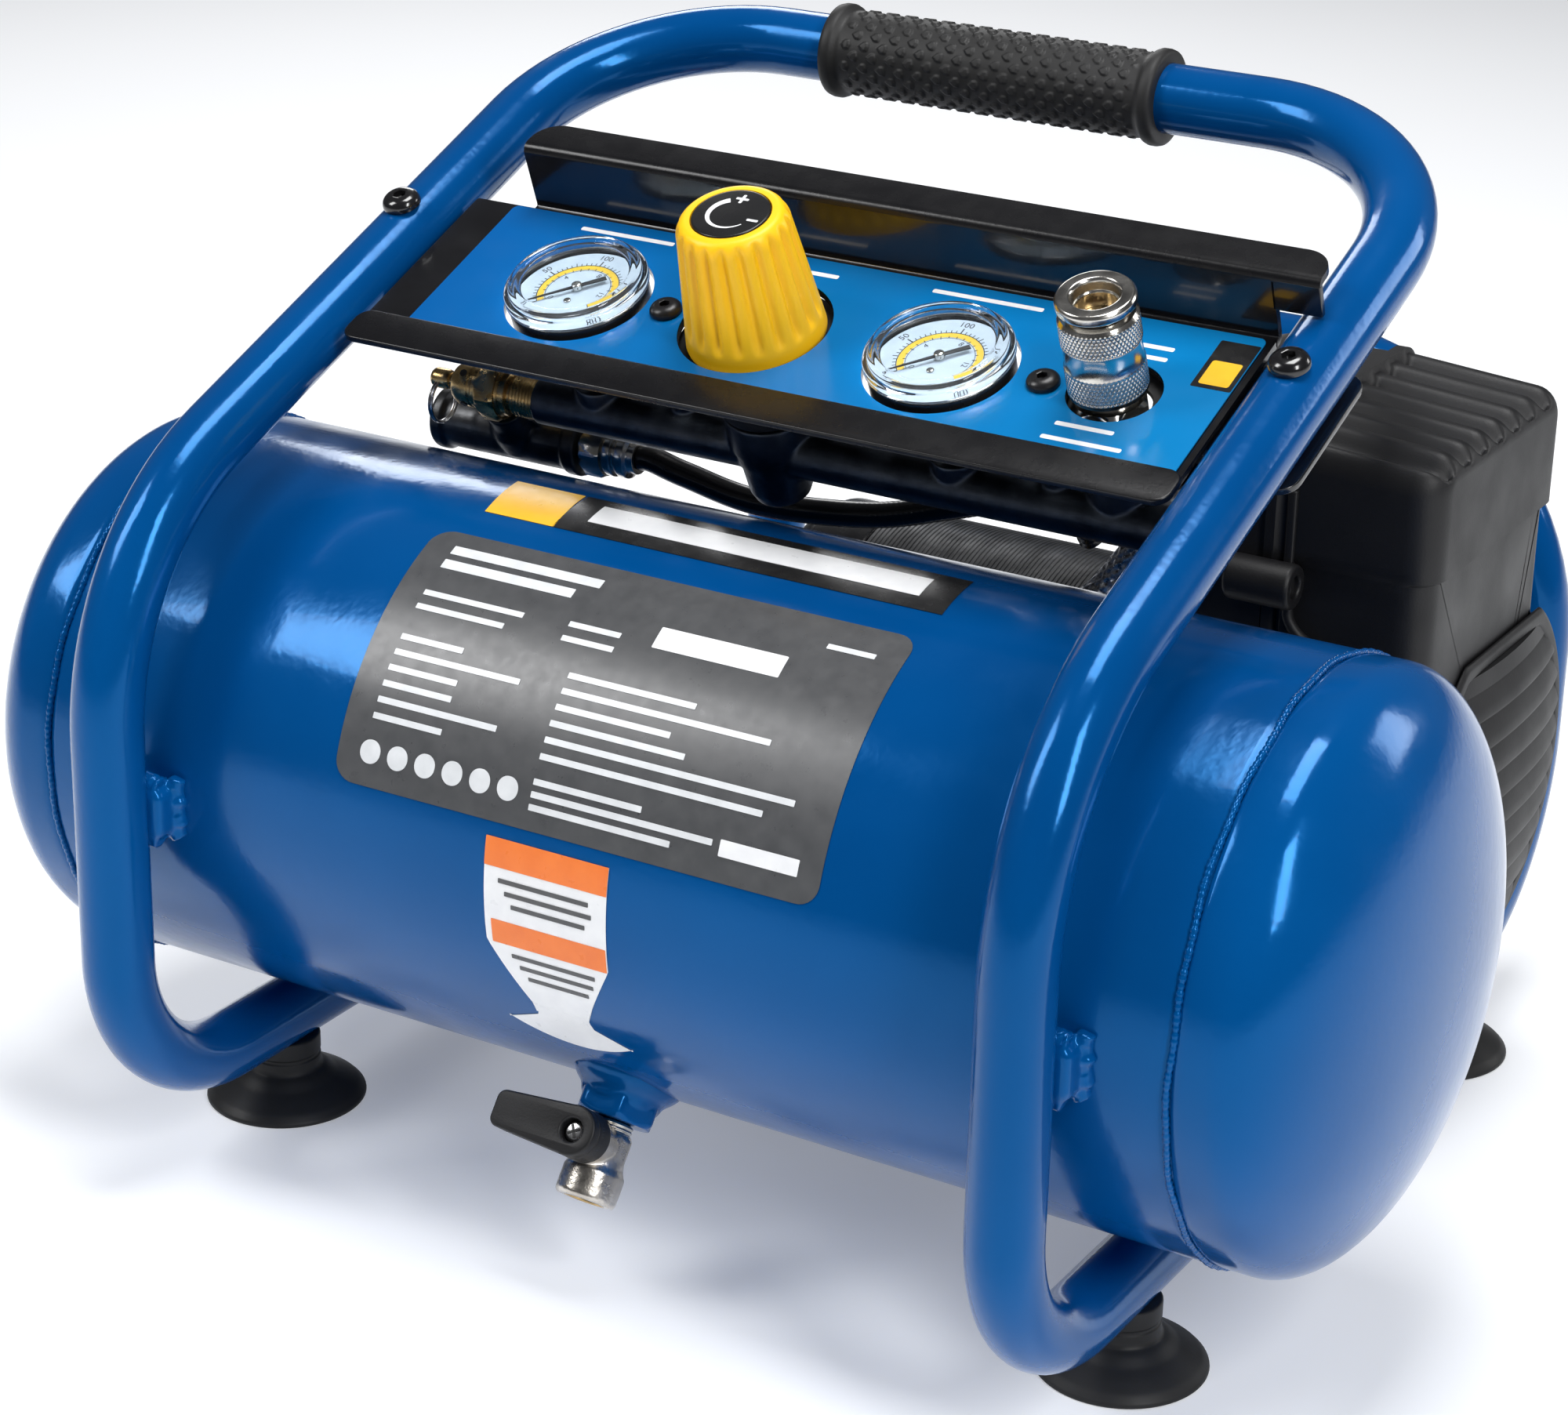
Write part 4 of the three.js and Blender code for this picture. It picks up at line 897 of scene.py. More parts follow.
def tag():
    """White tag with two orange bands, whose lower end is an arrowhead."""
    middle, shoulder = -4.5, TANK_CENTRE.z - 14

    def arrow(x):
        off = abs(x - middle)
        return -34.5 + 0.012 * off ** 2, -24.0 - 0.33 * (off if off > 8 else 0)
    corners, faces = wrapped(lambda x: (-26.0, 11.2), -24.5, 13.5, TANK_R + FILM_LIFT, 30, 30)
    taper = [(x + (0.0 if z > shoulder else (middle - x) * min((shoulder - z) / 34, 0.55)), y, z)
             for x, y, z in corners]
    extra("tag_film", (taper, faces), "label_white", "tank_shell")
    extra("tag_arrow", wrapped(arrow, -24.0, 15.0, TANK_R + FILM, 40, 6), "label_white", "tank_shell")
    tank_film("tag_band_upper", -24.5, 13.5, 5.6, 11.25, "label_orange", 0.2)
    tank_film("tag_band_lower", -22.5, 13.2, -10.2, -5.2, "label_orange", 0.2)
    rows = [(-20, 8, 2.6), (-18, 9, 0.2), (-16, 7, -2.2), (-17, 9, -13.0), (-15, 8, -15.4), (-13, 6, -17.8)]
    for number, (x0, x1, at) in enumerate(rows, 1):
        tank_film(f"tag_line_{number}", x0, x1, at, at + 0.9, "label_grey", 0.15)


# Control panel

def panel_holes():
    return [circle(21.3, 72, (x, GAUGE_S)) for x in GAUGE_X.values()] + [
        circle(21.6, 72, (KNOB["x"], KNOB["s"])), circle(12.8, 60, (COUPLER["x"] + 1.5, COUPLER["s"])),
    ] + [circle(2.6, 24, place) for place in SCREWS.values()]


def folded(points, thick, bend, steps=5):
    """The (s, n) section of a sheet folded along points, with rounded bends."""
    line = []
    for i, here in enumerate(points):
        if i in (0, len(points) - 1):
            line.append(Vector(here))
            continue
        a, b = Vector(points[i - 1]), Vector(points[i + 1])
        here = Vector(here)
        start = here + (a - here).normalized() * bend
        end = here + (b - here).normalized() * bend
        for k in range(steps + 1):
            t = k / steps
            line.append(start * (1 - t) ** 2 + here * 2 * t * (1 - t) + end * t * t)
    left, right = [], []
    for i, here in enumerate(line):
        ahead = (line[min(i + 1, len(line) - 1)] - line[max(i - 1, 0)]).normalized()
        out = Vector((-ahead.y, ahead.x)) * (thick / 2)
        left.append(tuple(here + out))
        right.append(tuple(here - out))
    return left + right[::-1]


def along_x(section, x0, x1, rounding=0.0, far=0.0, steps=8):
    """An (s, n) section drawn along X. Its edge at s = far has its corners rounded at both ends."""
    stations = [(x0 + rounding * (1 - math.cos(a)), rounding * (1 - math.sin(a)))
                for a in (quarter(steps) if rounding else [math.pi / 2])]
    mirror = [(x0 + x1 - x, cut) for x, cut in reversed(stations)]
    rear = far > sum(s for s, _ in section) / len(section)
    rings = []
    for x, cut in stations + mirror:
        rings.append([(x, min(s, far - cut) if rear else max(s, far + cut), n) if cut else (x, s, n)
                      for s, n in section])
    return loft(rings)


def panel_bracket():
    top, sheet = PANEL["top"], PANEL["sheet"]
    half, front, rear = PANEL["half"], PANEL["front"], PANEL["rear"]
    middle = top - sheet / 2
    deck = plate([rounded_rect(-half, half, front + 1.2, rear - 1.4, 0.8)] + panel_holes(), top - sheet, top)
    piece("panel_deck", deck, "gloss_black", "panel_bracket", PANEL_AT)
    edge = front - FRONT_LIP["reach"]
    riser = folded([(front + 2.4, middle), (front + 1, middle), (front + 1, FRONT_LIP["top"] - 1.4)], sheet, 1.0)
    step = along_x(riser, FRONT_LIP["left"] + 1, half)
    extra("panel_front_step", step, "gloss_black", "panel_bracket", PANEL_AT, sharp=50)
    strip = rounded_rect(FRONT_LIP["left"], FRONT_LIP["right"], edge, front + sheet, 4.5, 10)
    extra("panel_front_lip", prism(strip, FRONT_LIP["top"] - sheet, FRONT_LIP["top"], 0.5, 4), "satin_black",
          "panel_bracket", PANEL_AT, sharp=50)
    end = rear + REAR_WALL["lip"]
    wall = folded([(rear - 1.4, middle), (rear + 1, middle), (rear + 1, REAR_WALL["height"] - 1),
                   (end, REAR_WALL["height"] - 1)], sheet, 1.8)
    turn_at = REAR_WALL["height"] - 2.1
    over_tube = block(half - 1, REAR_WALL["right"], rear, rear + sheet, TUBE_R + 1, turn_at, 0.4, 0.2)
    lower = along_x(wall_part(wall, -math.inf, turn_at), REAR_WALL["left"], half)
    extra("panel_rear_wall", joined(lower, over_tube), "gloss_black", "panel_bracket", PANEL_AT, sharp=50)
    upper = along_x(wall_part(wall, turn_at, math.inf), REAR_WALL["left"], REAR_WALL["right"], 8.0, end)
    extra("panel_rear_lip", upper, "satin_black", "panel_bracket", PANEL_AT, sharp=50)
    for side, name in SIDES:
        tab(side, name)


def wall_part(section, low, high):
    """The part of a folded section between two heights."""
    return [(s, min(max(n, low), high)) for s, n in section if low - 6 < n < high + 6]


def tab(side, name):
    """Web down the side of the panel and the tab that bolts under a tube."""
    half, sheet, low = PANEL["half"], PANEL["sheet"], -TUBE_R - 0.6 - PANEL["sheet"]
    x0, x1 = sorted((side * (half - sheet), side * half))
    web = block(x0, x1, 127, 168, low, PANEL["top"] - sheet + 0.5, 0.6, 0.3)
    flat = rounded_rect(*sorted((side * (half - sheet), side * (half + 21.5))), 128, 178, 6)
    plain = plate([flat, circle(2.9, 24, (side * HALF_TRACK, BOLT_S))], low, low + sheet, 0.3)
    extra(f"panel_tab_{name}", joined(web, plain), "gloss_black", "panel_bracket", PANEL_AT)


def patch(x0, x1, y0, y1, low, thick, corner=0.3):
    """A thin printed rectangle."""
    return plate([rounded_rect(x0, x1, y0, y1, corner)], low, low + thick)


def panel_label():
    low = PANEL["top"] + 0.3
    edge = rounded_rect(LABEL["left"], LABEL["right"], LABEL["front"], LABEL["rear"], 2)
    piece("face_label", plate([edge] + panel_holes(), low, low + 0.35), "face", "panel_label", PANEL_AT)
    top = low + 0.36
    marks = [(-86, -55, 164.5), (-23, -1, 163.2), (27.5, 61, 165.0), (90, 102.4, 158.5), (90, 102.4, 154.0),
             (85.7, 102.4, 122.0), (84.5, 107.3, 116.0)]
    for number, (x0, x1, at) in enumerate(marks, 1):
        bar = patch(x0, x1, at - 0.8, at + 0.8, top, 0.05, 0.5)
        extra(f"face_mark_{number}", bar, "label_white", "panel_label", PANEL_AT)
    extra("face_badge", patch(112.5, 123.8, 146, 166, top, 0.05, 0.5), "label_black", "panel_label", PANEL_AT)
    amber = patch(114, 122.5, 147.5, 157.5, top + 0.06, 0.04, 0.8)
    extra("face_badge_patch", amber, "label_amber", "panel_label", PANEL_AT)


BOLT = {"shank": 2.4, "end": -16, "seat": TUBE_R + 0.3, "r": 5.6, "crown": 3.4, "edge": 0.5, "rise": 2.9,
        "socket": 1.75, "depth": 1.9}
SCREW = {"shank": 2.1, "end": -12, "seat": PANEL["top"] + 1.0, "r": 4.6, "crown": 2.9, "edge": 0.4, "rise": 2.1,
         "socket": 1.35, "depth": 1.5}


def button_screw(size):
    """Button-head screw about Z with a hexagon socket."""
    end, seat = size["end"], size["seat"]
    profile = [(0, end), (size["shank"], end), (size["shank"], seat), (size["r"], seat)] + [
        (size["r"] - size["crown"] * (1 - math.cos(a)), seat + size["edge"] + size["rise"] * math.sin(a))
        for a in quarter(8)]
    top = profile[-1][1]
    bottom = top - size["depth"]
    socket = [nut_ring(size["socket"], z, 48) for z in (top - 0.1, bottom)]
    return loft(turned_rings(profile, 48) + socket + [[(0, 0, bottom - 0.3)]])


def fasteners():
    for side, name in SIDES:
        piece(f"panel_bolt_head_{name}", button_screw(BOLT), "gloss_black", f"panel_bolt_{name}",
              on_panel(side * HALF_TRACK, BOLT_S))
        piece(f"panel_screw_head_{name}", button_screw(SCREW), "smooth_plastic", f"panel_screw_{name}",
              on_panel(*SCREWS[name]))


# Gauges

ZERO_MARK = 222
SWEEP = 264
FULL_SCALE = 200
BAR_MARKS = {0: "0", 57: "4", 114: "8", 171: "12"}


def dial_angle(value):
    return math.radians(ZERO_MARK - SWEEP * value / FULL_SCALE)


def tick(value, inner, outer, half_width, low):
    bar = plate([[(inner, -half_width), (outer, -half_width), (outer, half_width), (inner, half_width)]], low,
                low + 0.04)
    return moved(bar, Matrix.Rotation(dial_angle(value), 4, "Z"))


def arc_band(inner, outer, low, steps=60):
    angles = [dial_angle(FULL_SCALE * k / steps) for k in range(steps + 1)]
    edge = [(outer * math.cos(a), outer * math.sin(a)) for a in angles]
    back = [(inner * math.cos(a), inner * math.sin(a)) for a in reversed(angles)]
    return plate([list(reversed(edge + back))], low, low + 0.03)


def dial_number(text, value, size, radius, low):
    a = dial_angle(value)
    upright = moved(figures(text, size), Matrix.Rotation(a - math.pi / 2, 4, "Z"))
    return shifted(upright, radius * math.cos(a), radius * math.sin(a), low)


def dial_print(low):
    bits = [arc_band(11.85, 12.1, low, 80), arc_band(9.45, 9.62, low, 80)]
    for value in range(0, FULL_SCALE + 1, 5):
        reach = 14.3 if value % 50 == 0 else 13.6 if value % 25 == 0 else 13.1
        bits.append(tick(value, 12.0, reach, 0.12 if value % 50 else 0.2, low))
    for value in range(0, FULL_SCALE + 1, 10):
        bits.append(tick(value, 9.6 if value % 40 else 9.0, 10.4, 0.12, low + 0.05))
    for value in range(0, FULL_SCALE + 1, 50):
        bits.append(dial_number(str(value), value, 3.0, 15.9, low + 0.02))
    for value, text in BAR_MARKS.items():
        bits.append(dial_number(text, value, 2.5, 7.9, low + 0.02))
    return joined(*bits)


def gauge(name):
    at = on_panel(GAUGE_X[name], GAUGE_S)
    rim = GAUGE_RIM
    case = soften([(0, -26.3), (5, -26.3), (5, -12), (18.5, -12), (19.6, -10.5), (19.9, rim - 1.2), (19.9, rim),
                   (18.6, rim), (18.6, rim - 1.8), (0, rim - 1.8)], 0.8)
    piece(f"{name}_gauge_shell", lathe(case, 96), "smooth_plastic", f"{name}_gauge_case", at)
    face = rim - 0.9
    dial = f"{name}_gauge_dial"
    piece(f"{name}_gauge_face", plate([circle(18.2, 96)], rim - 1.6, face), "white", dial, at)
    extra(f"{name}_gauge_print", dial_print(face + 0.01), "ink", dial, at)
    extra(f"{name}_gauge_band", arc_band(9.9, 11.8, face + 0.01), "ink_yellow", dial, at)
    pin = lathe(soften([(0, face), (1.1, face), (1.1, face + 0.5), (0, face + 0.7)], 0.3), 24)
    extra(f"{name}_gauge_stop", shifted(pin, y=-5.6), "nickel", dial, at)
    needle(name, at)
    lens(name, at)


def needle(name, at):
    low = GAUGE_RIM + 0.2
    below = [(-8.6, -0.85), (-1.6, -0.7), (0, -1.6), (1.6, -0.55), (14.5, -0.12)]
    outline = below + [(x, -y) for x, y in reversed(below)]
    shape = moved(prism(outline, low, low + 0.5, 0.1, 1), Matrix.Rotation(math.radians(ZERO_MARK), 4, "Z"))
    hub = lathe(soften([(0, GAUGE_RIM - 0.5), (1.5, GAUGE_RIM - 0.5), (1.5, low + 1.2), (0, low + 1.5)], 0.4), 32)
    piece(f"{name}_needle", shape, "ink", f"{name}_gauge_needle", at)
    extra(f"{name}_needle_hub", hub, "nickel", f"{name}_gauge_needle", at)


def lens(name, at):
    rim = GAUGE_RIM
    profile = [(0, rim + 4.6), (15.4, rim + 4.5), (16.2, rim + 5.3), (18.2, rim + 5.4), (18.9, rim + 4.7),
               (19.0, rim + 3.3), (20.3, rim + 3.0), (20.5, rim + 2.4), (20.5, rim + 0.3), (18.4, rim + 0.3),
               (18.4, rim + 2.7), (17.4, rim + 3.4), (0, rim + 3.5)]
    piece(f"{name}_gauge_cap", lathe(soften(profile, 0.45, 4), 96), "clear", f"{name}_gauge_lens", at, sharp=60)


# Regulator

def knob():
    base, top, height = KNOB["base"], KNOB["top"], KNOB["height"]
    at = on_panel(KNOB["x"], KNOB["s"])
    skirt, shoulder = 5.2, height - 5.5

    def side(z):
        return base + (top - base) * (z - 0.6) / (height - 4.1)

    def fluted(angle, z, radius):
        if radius < side(z) - 2.6 or z < skirt - 3:
            return radius
        rise = min(max((z - skirt) / 4.5, 0.0), 1.0)
        fall = min(max((height - 0.9 - z) / 4.5, 0.0), 1.0)
        depth = 1.35 * math.sin(rise * math.pi / 2) * math.sin(fall * math.pi / 2)
        return radius - depth * (0.5 + 0.5 * math.cos(20 * angle)) ** 2.2
    wall = [(side(z), z) for z in (1.6 + k * 0.7 for k in range(int((shoulder - 1.6) / 0.7) + 1))]
    crown = [(side(shoulder) - 3.4 * (1 - math.cos(a)), shoulder + (height - shoulder) * math.sin(a))
             for a in quarter(12)[1:]]
    foot = [(0, 34), (12.6, 34), (12.6, -1), (base - 0.9, -1), (base - 0.2, -0.5), (base, 0.5)]
    dish = [(11.2, height), (11.1, height - 1.3), (0, height - 1.3)]
    piece("knob_shell", lathe(foot + wall + crown + dish, 240, fluted), "yellow", "regulator_knob", at, sharp=50)
    disc = soften([(0, height - 1.1), (10.8, height - 1.1), (10.8, height + 0.1), (10.4, height + 0.3),
                   (0, height + 0.3)], 0.2)
    piece("knob_disc", lathe(disc, 96), "smooth_plastic", "regulator_knob_cap", at)
    low, r = height + 0.31, 6.9
    widths = [(math.radians(120 + 205 * k / 40), 1.9 - 1.6 * k / 40) for k in range(41)]
    crescent = [(r * math.cos(a), r * math.sin(a)) for a, _ in widths]
    inner = [((r - wide) * math.cos(a), (r - wide) * math.sin(a)) for a, wide in reversed(widths)]
    marks = joined(
        plate([crescent + inner], low, low + 0.06),
        patch(-1.9, 1.9, 6.1, 7.0, low, 0.06),
        patch(-0.45, 0.45, 4.65, 8.45, low, 0.05),
        shifted(patch(-1.7, 1.7, -0.45, 0.45, low, 0.06), x=7.6, y=-1.6),
    )
    extra("knob_marks", marks, "label_white", "regulator_knob_cap", at)
    bonnet = soften([(0, -23.7), (14, -23.7), (14, -5), (10, -3), (10, 31), (8, 32.5), (0, 32.5)], 1.0)
    piece("bonnet", lathe(bonnet, 64), "plastic", "regulator_bonnet", at)
    flange = soften([(10.5, -3.4), (23, -3.4), (23, -1.9), (10.5, -1.9), (10.5, -3.4)], 0.3)
    extra("bonnet_flange", lathe(flange, 96), "plastic", "regulator_bonnet", at)


# Quick coupler

def knurled(low, high, radius, count, depth):
    """A band of diamond knurling: two families of grooves that cross."""
    slope = count / radius * math.tan(math.radians(30))

    def crest(angle, z, r):
        if not low - 1e-6 <= z <= high + 1e-6 or r < radius - 0.2:
            return r
        fade = min((z - low) / 0.5, (high - z) / 0.5, 1.0)
        one = abs(math.sin((count * angle + slope * z) / 2))
        two = abs(math.sin((count * angle - slope * z) / 2))
        return r - depth * fade * (1 - min(one, two, 0.75) / 0.75)
    return crest


def coupler():
    at = on_panel(COUPLER["x"], COUPLER["s"])
    r, top = COUPLER["r"], COUPLER["top"]
    body = soften([(0, -23.7), (9, -23.7), (9, -8.8), (7.6, -8), (7.6, 29.8), (r - 0.6, 30.2), (r, 30.7),
                   (r, top - 0.9), (r - 0.7, top), (7.0, top), (6.4, top - 0.8), (6.2, top - 3.4),
                   (5.8, top - 3.8), (5.8, 4), (0, 4)], 0.35)
    hexagon = nut(9.5, -8.6, 1.3, 1.0)
    piece("coupler_core", joined(lathe(body, 96), hexagon), "nickel", "coupler_body", at)
    grommet = soften([(9.7, -3.2), (15.4, -3.2), (15.4, -1.6), (9.7, -1.6), (9.7, -3.2)], 0.3)
    extra("coupler_grommet", shifted(lathe(grommet, 72), 1.2), "rubber", "coupler_body", at)
    seat = soften([(0, 19.5), (2.4, 19.5), (2.4, 24.9), (3.4, 25.3), (5.7, 25.4), (5.7, 19), (0, 19)], 0.2)
    extra("coupler_seat", lathe(seat, 64), "brass", "coupler_body", at)
    lower, upper, step = (5.2, 12.8), (20.0, 26.8), 0.17
    low_rows, high_rows = ([(r, start + k * step) for k in range(int((stop - start) / step) + 1)]
                           for start, stop in (lower, upper))
    profile = [(7.9, 3.7), (r - 0.5, 3.7), (r - 0.1, 4.1), (r - 0.1, 4.9)] + low_rows + [
        (r - 0.1, 13.0), (r - 0.35, 13.4), (r - 0.35, 19.2), (r - 0.1, 19.6)] + high_rows + [
        (r - 0.3, 27.3), (r - 0.8, 28), (7.9, 28), (7.9, 3.7)]
    low_band, high_band = (knurled(*band, r, 56, 0.42) for band in (lower, upper))
    shape = lathe(profile, 448, lambda a, z, rr: high_band(a, z, low_band(a, z, rr)))
    piece("coupler_collar", shape, "nickel", "coupler_sleeve", at, sharp=40)


# Cast manifold, safety valve and unloader

def manifold():
    left, right, s, n, r = MANIFOLD.values()
    under = -24
    along = placed(Vector((0, s, n)), X_AXIS, Y_AXIS)
    barrel = lathe([(0, left), (r, left), (r, right - 1), (r - 1, right), (0, right)], 48)
    parts = [moved(barrel, along)]
    for x in GAUGE_X.values():
        parts.append(shifted(lathe([(0, n), (8.4, n), (7.6, n + 3), (7.6, n + 10), (0, n + 10)], 40), x, GAUGE_S))
    cup = [(0, n - 16), (6.6, n - 16), (8, n - 15), (9.2, n - 12), (9.8, n - 4), (10.4, n - 1), (10.6, n + 2),
           (0, n + 2)]
    seat = [(0, n), (12.4, n), (14, n + 1.6), (14, under), (0, under)]
    parts += [shifted(lathe(cup, 56), KNOB["x"], s), shifted(lathe(seat, 56), KNOB["x"], KNOB["s"]),
              shifted(rod(9.4, n - 4, under), COUPLER["x"], COUPLER["s"]),
              block(COUPLER["x"] - 8, COUPLER["x"] + 8, s, COUPLER["s"], n - 4, n + 5, 2, 1)]
    for x, at_s in SCREWS.values():
        parts.append(shifted(lathe([(0, n), (4.6, n), (4.2, -6.6), (0, -6.6)], 32), x, at_s))
        gusset = [(x - 7, n + r - 1.2), (x - 3.6, n + r - 1.2), (x - 3.6, n + 19)]
        parts.append(moved(prism(gusset, -0.9, 0.9, 0.2, 1), placed(Vector((0, at_s, 0)), -Y_AXIS, X_AXIS)))
    piece("manifold_casting", fused(joined(*parts), 0.62), "cast", "manifold", PANEL_AT, sharp=80)


def threads(radius, low, high):
    """A profile with rounded rings in place of a thread."""
    pitch, depth = 1.1, 0.35
    count = max(int((high - low) / pitch * 8), 8)
    heights = [(high - low) * k / count for k in range(count + 1)]
    return [(radius - depth * (0.5 + 0.5 * math.cos(TAU * rise / pitch)), low + rise) for rise in heights]


VALVE_AT = PANEL_AT @ Matrix.Translation((MANIFOLD["left"] - 0.3, MANIFOLD["s"], MANIFOLD["n"]))


def safety_valve():
    """Brass body along -X, with its pull stem and split ring."""
    origin = VALVE_AT.translation
    at = placed(origin, -X_AXIS, Z_AXIS)
    profile = [(0, 0), (6.2, 0)] + threads(6.4, 0.2, 7.6) + [
        (5.7, 8.2), (5.7, 9.0), (6.9, 9.4), (6.9, 11.6), (7.4, 12.2), (7.4, 18.8), (6.6, 19.6), (6.6, 21.0),
        (6.2, 21.5), (6.2, 22.1), (6.6, 22.6), (6.6, 26.4), (5.4, 28.5), (2.2, 28.5), (2.2, 16), (0, 16)]
    shape = lathe(profile, 64)
    hexagon = moved(nut(8.0, 12.2, 18.8, 0.9), Matrix.Rotation(0.4, 4, "Z"))
    piece("safety_body", joined(shape, hexagon), "brass", "safety_valve_body", at)
    for k in range(4):
        a = TAU * (k + 0.5) / 4
        out = Vector((math.cos(a), math.sin(a), 0))
        spot = placed(out * 6.3 + 24.4 * Z_AXIS, out, Z_AXIS)
        extra(f"safety_port_{k + 1}", moved(rod(1.1, 0, 0.5, 20), spot), "ink", "safety_valve_body", at)
    stem = soften([(0, 19), (1.8, 19), (1.8, 31.4), (2.6, 31.8), (3, 33), (3, 37), (2.4, 38), (0, 38)], 0.5)
    piece("safety_stem", lathe(stem, 40), "brass", "safety_valve_stem", at)
    ring_r, wire_r = 6.5, 0.42
    ring_at = pivot("safety_ring_swing") - ring_r * Z_AXIS
    coil = []
    for k in range(161):
        a = math.pi / 2 + TAU * 2 * k / 160
        lead = wire_r * (2 * min(max((k - 70) / 20, 0), 1) - 1)
        coil.append(ring_at + Vector((lead, ring_r * math.cos(a), ring_r * math.sin(a))))
    piece("split_ring", sweep(coil, wire_r, 10), "steel", "safety_valve_ring")


def unloader():
    left, right, y, z, neck_x = UNLOADER.values()
    origin = Vector((0, y, z))
    at = placed(origin, X_AXIS, Y_AXIS)
    barrel = lathe([(0, left), (8, left), (9.3, left + 0.8), (9.3, left + 4), (8.2, left + 5), (8.2, right - 5),
                    (9.1, right - 4), (9.1, right), (0, right)], 56)
    up = VALVE_AT.translation - origin
    up.x = 0
    reach = up.length - 9.4
    up.normalize()
    neck = lathe([(0, 0), (8.6, 0), (8.2, 7), (6.8, 10.5), (6.4, reach), (0, reach)], 48)
    parts = [moved(barrel, at), moved(neck, placed(Vector((neck_x, y, z)), up, X_AXIS))]
    for dx in (-9.5, 9.5):
        top = reach * 0.85
        outline = [(neck_x, 0.0), (neck_x + dx * 1.9, 0.0), (neck_x + dx * 0.6, top), (neck_x, top)]
        rib = prism(outline if dx > 0 else outline[::-1], -1.3, 1.3, 0.3, 1)
        parts.append(moved(rib, placed(origin, -up.cross(X_AXIS), X_AXIS)))
    piece("unloader_casting", fused(joined(*parts), 0.55), "cast_dark", "unloader_valve", sharp=80)
    start = right + 0.3
    collars = soften([(0, start), (6.2, start), (6.2, start + 8), (7.1, start + 8.5), (7.1, start + 10.8),
                      (5.8, start + 11.4), (5.8, start + 12), (6.9, start + 12.6), (6.9, start + 15.2),
                      (5.2, start + 16), (5.2, start + 18), (0, start + 18)], 0.35)
    flats = nut(7.4, start + 0.8, start + 7.8, 0.9)
    piece("fitting", joined(lathe(collars, 64), flats), "nickel", "hose_fitting", at)


def hoses():
    """Black unloader hose, the braided discharge hose and its check valve."""
    start = UNLOADER["right"] + 18.6
    y, z = UNLOADER["y"], UNLOADER["z"]
    route = [(start, y, z), (start + 4, y, z), (-52, -21, 187.5), (-27, -21, 184), (8, -20, 187), (32, -18, 193.5),
             (48, -14, 198), (58, -8, 198), (63, -1, 193), (65, 5, 184)]
    line = evenly(smooth_path(route, 14), 0.55)

    def ribbed(_, run):
        return 3.8 - 0.16 * (0.5 + 0.5 * math.cos(TAU * run / 1.65)) * min(max((run - 60) / 30, 0), 1)
    piece("unloader_tube", sweep(line, 3.8, 28, ribbed), "hose", "unloader_hose")
    port = TANK_CENTRE + PORT["x"] * X_AXIS
    direction = PORT["axis"].normalized()
    begin = port + direction * (TANK_R + 12.6)
    route = [begin, begin + direction * 4, (70, 9, 171), (79, 13, 185), (89, 20, 196.5), (PUMP_X, 31, 200),
             HEAD_PORT - 6 * Y_AXIS, HEAD_PORT - 0.6 * Y_AXIS]
    strands = 12

    def braid(angle, run):
        one = math.sin(strands * angle + run * 1.05)
        two = math.sin(strands * angle - run * 1.05)
        return 4.74 + 0.26 * max(one, two)
    line = evenly(smooth_path(route, 14), 0.45)
    piece("braided_tube", sweep(line, 5, 72, braid), "braid", "discharge_hose")
    body = joined(lathe(soften([(0, TANK_R - 6), (4.7, TANK_R - 6), (4.7, TANK_R + 8), (6.4, TANK_R + 8),
                                (6.4, TANK_R + 12), (0, TANK_R + 12)], 0.4), 48),
                  nut(7.9, TANK_R + 0.9, TANK_R + 8, 0.8))
    piece("check_valve_body", body, "brass", "check_valve", placed(port, direction))


# Drain valve

def drain_valve():
    barrel = lathe([(0, BUNG_END - 8), (4.6, BUNG_END - 8), (4.9, BUNG_END)] + threads(6.2, BUNG_END + 0.4, 94.0)
                   + [(0, 94.4)], 56)
    piece("drain_thread", barrel, "nickel", "drain_valve_body", DRAIN_AT)
    waist = lathe([(0, 93.6), (6.4, 93.6), (7.0, 96), (7.0, 101), (7.6, 103.5), (8.6, 105.2), (8.6, 112.4),
                   (8.0, VALVE_END), (5.6, VALVE_END), (5.2, 111.8), (5.2, VALVE_END - 8), (0, VALVE_END - 8)], 56)
    shoulder = nut(6.9, 94.4, 103.0, 0.6)
    to_stem = DRAIN_AT.inverted() @ STEM_AT
    boss = moved(rod(6.2, 0, 9.5), to_stem)
    casting = fused(joined(waist, shoulder, boss), 0.42, 2)
    extra("drain_casting", casting, "cast_nickel", "drain_valve_body", DRAIN_AT, sharp=80)
    bore = lathe([(4.95, VALVE_END - 7.6), (5.3, VALVE_END - 7.6), (5.3, VALVE_END - 0.4), (5.7, VALVE_END + 0.02),
                  (5.2, VALVE_END - 0.2), (4.95, VALVE_END - 0.8), (4.95, VALVE_END - 7.6)], 56)
    extra("drain_outlet", bore, "brass", "drain_valve_body", DRAIN_AT)


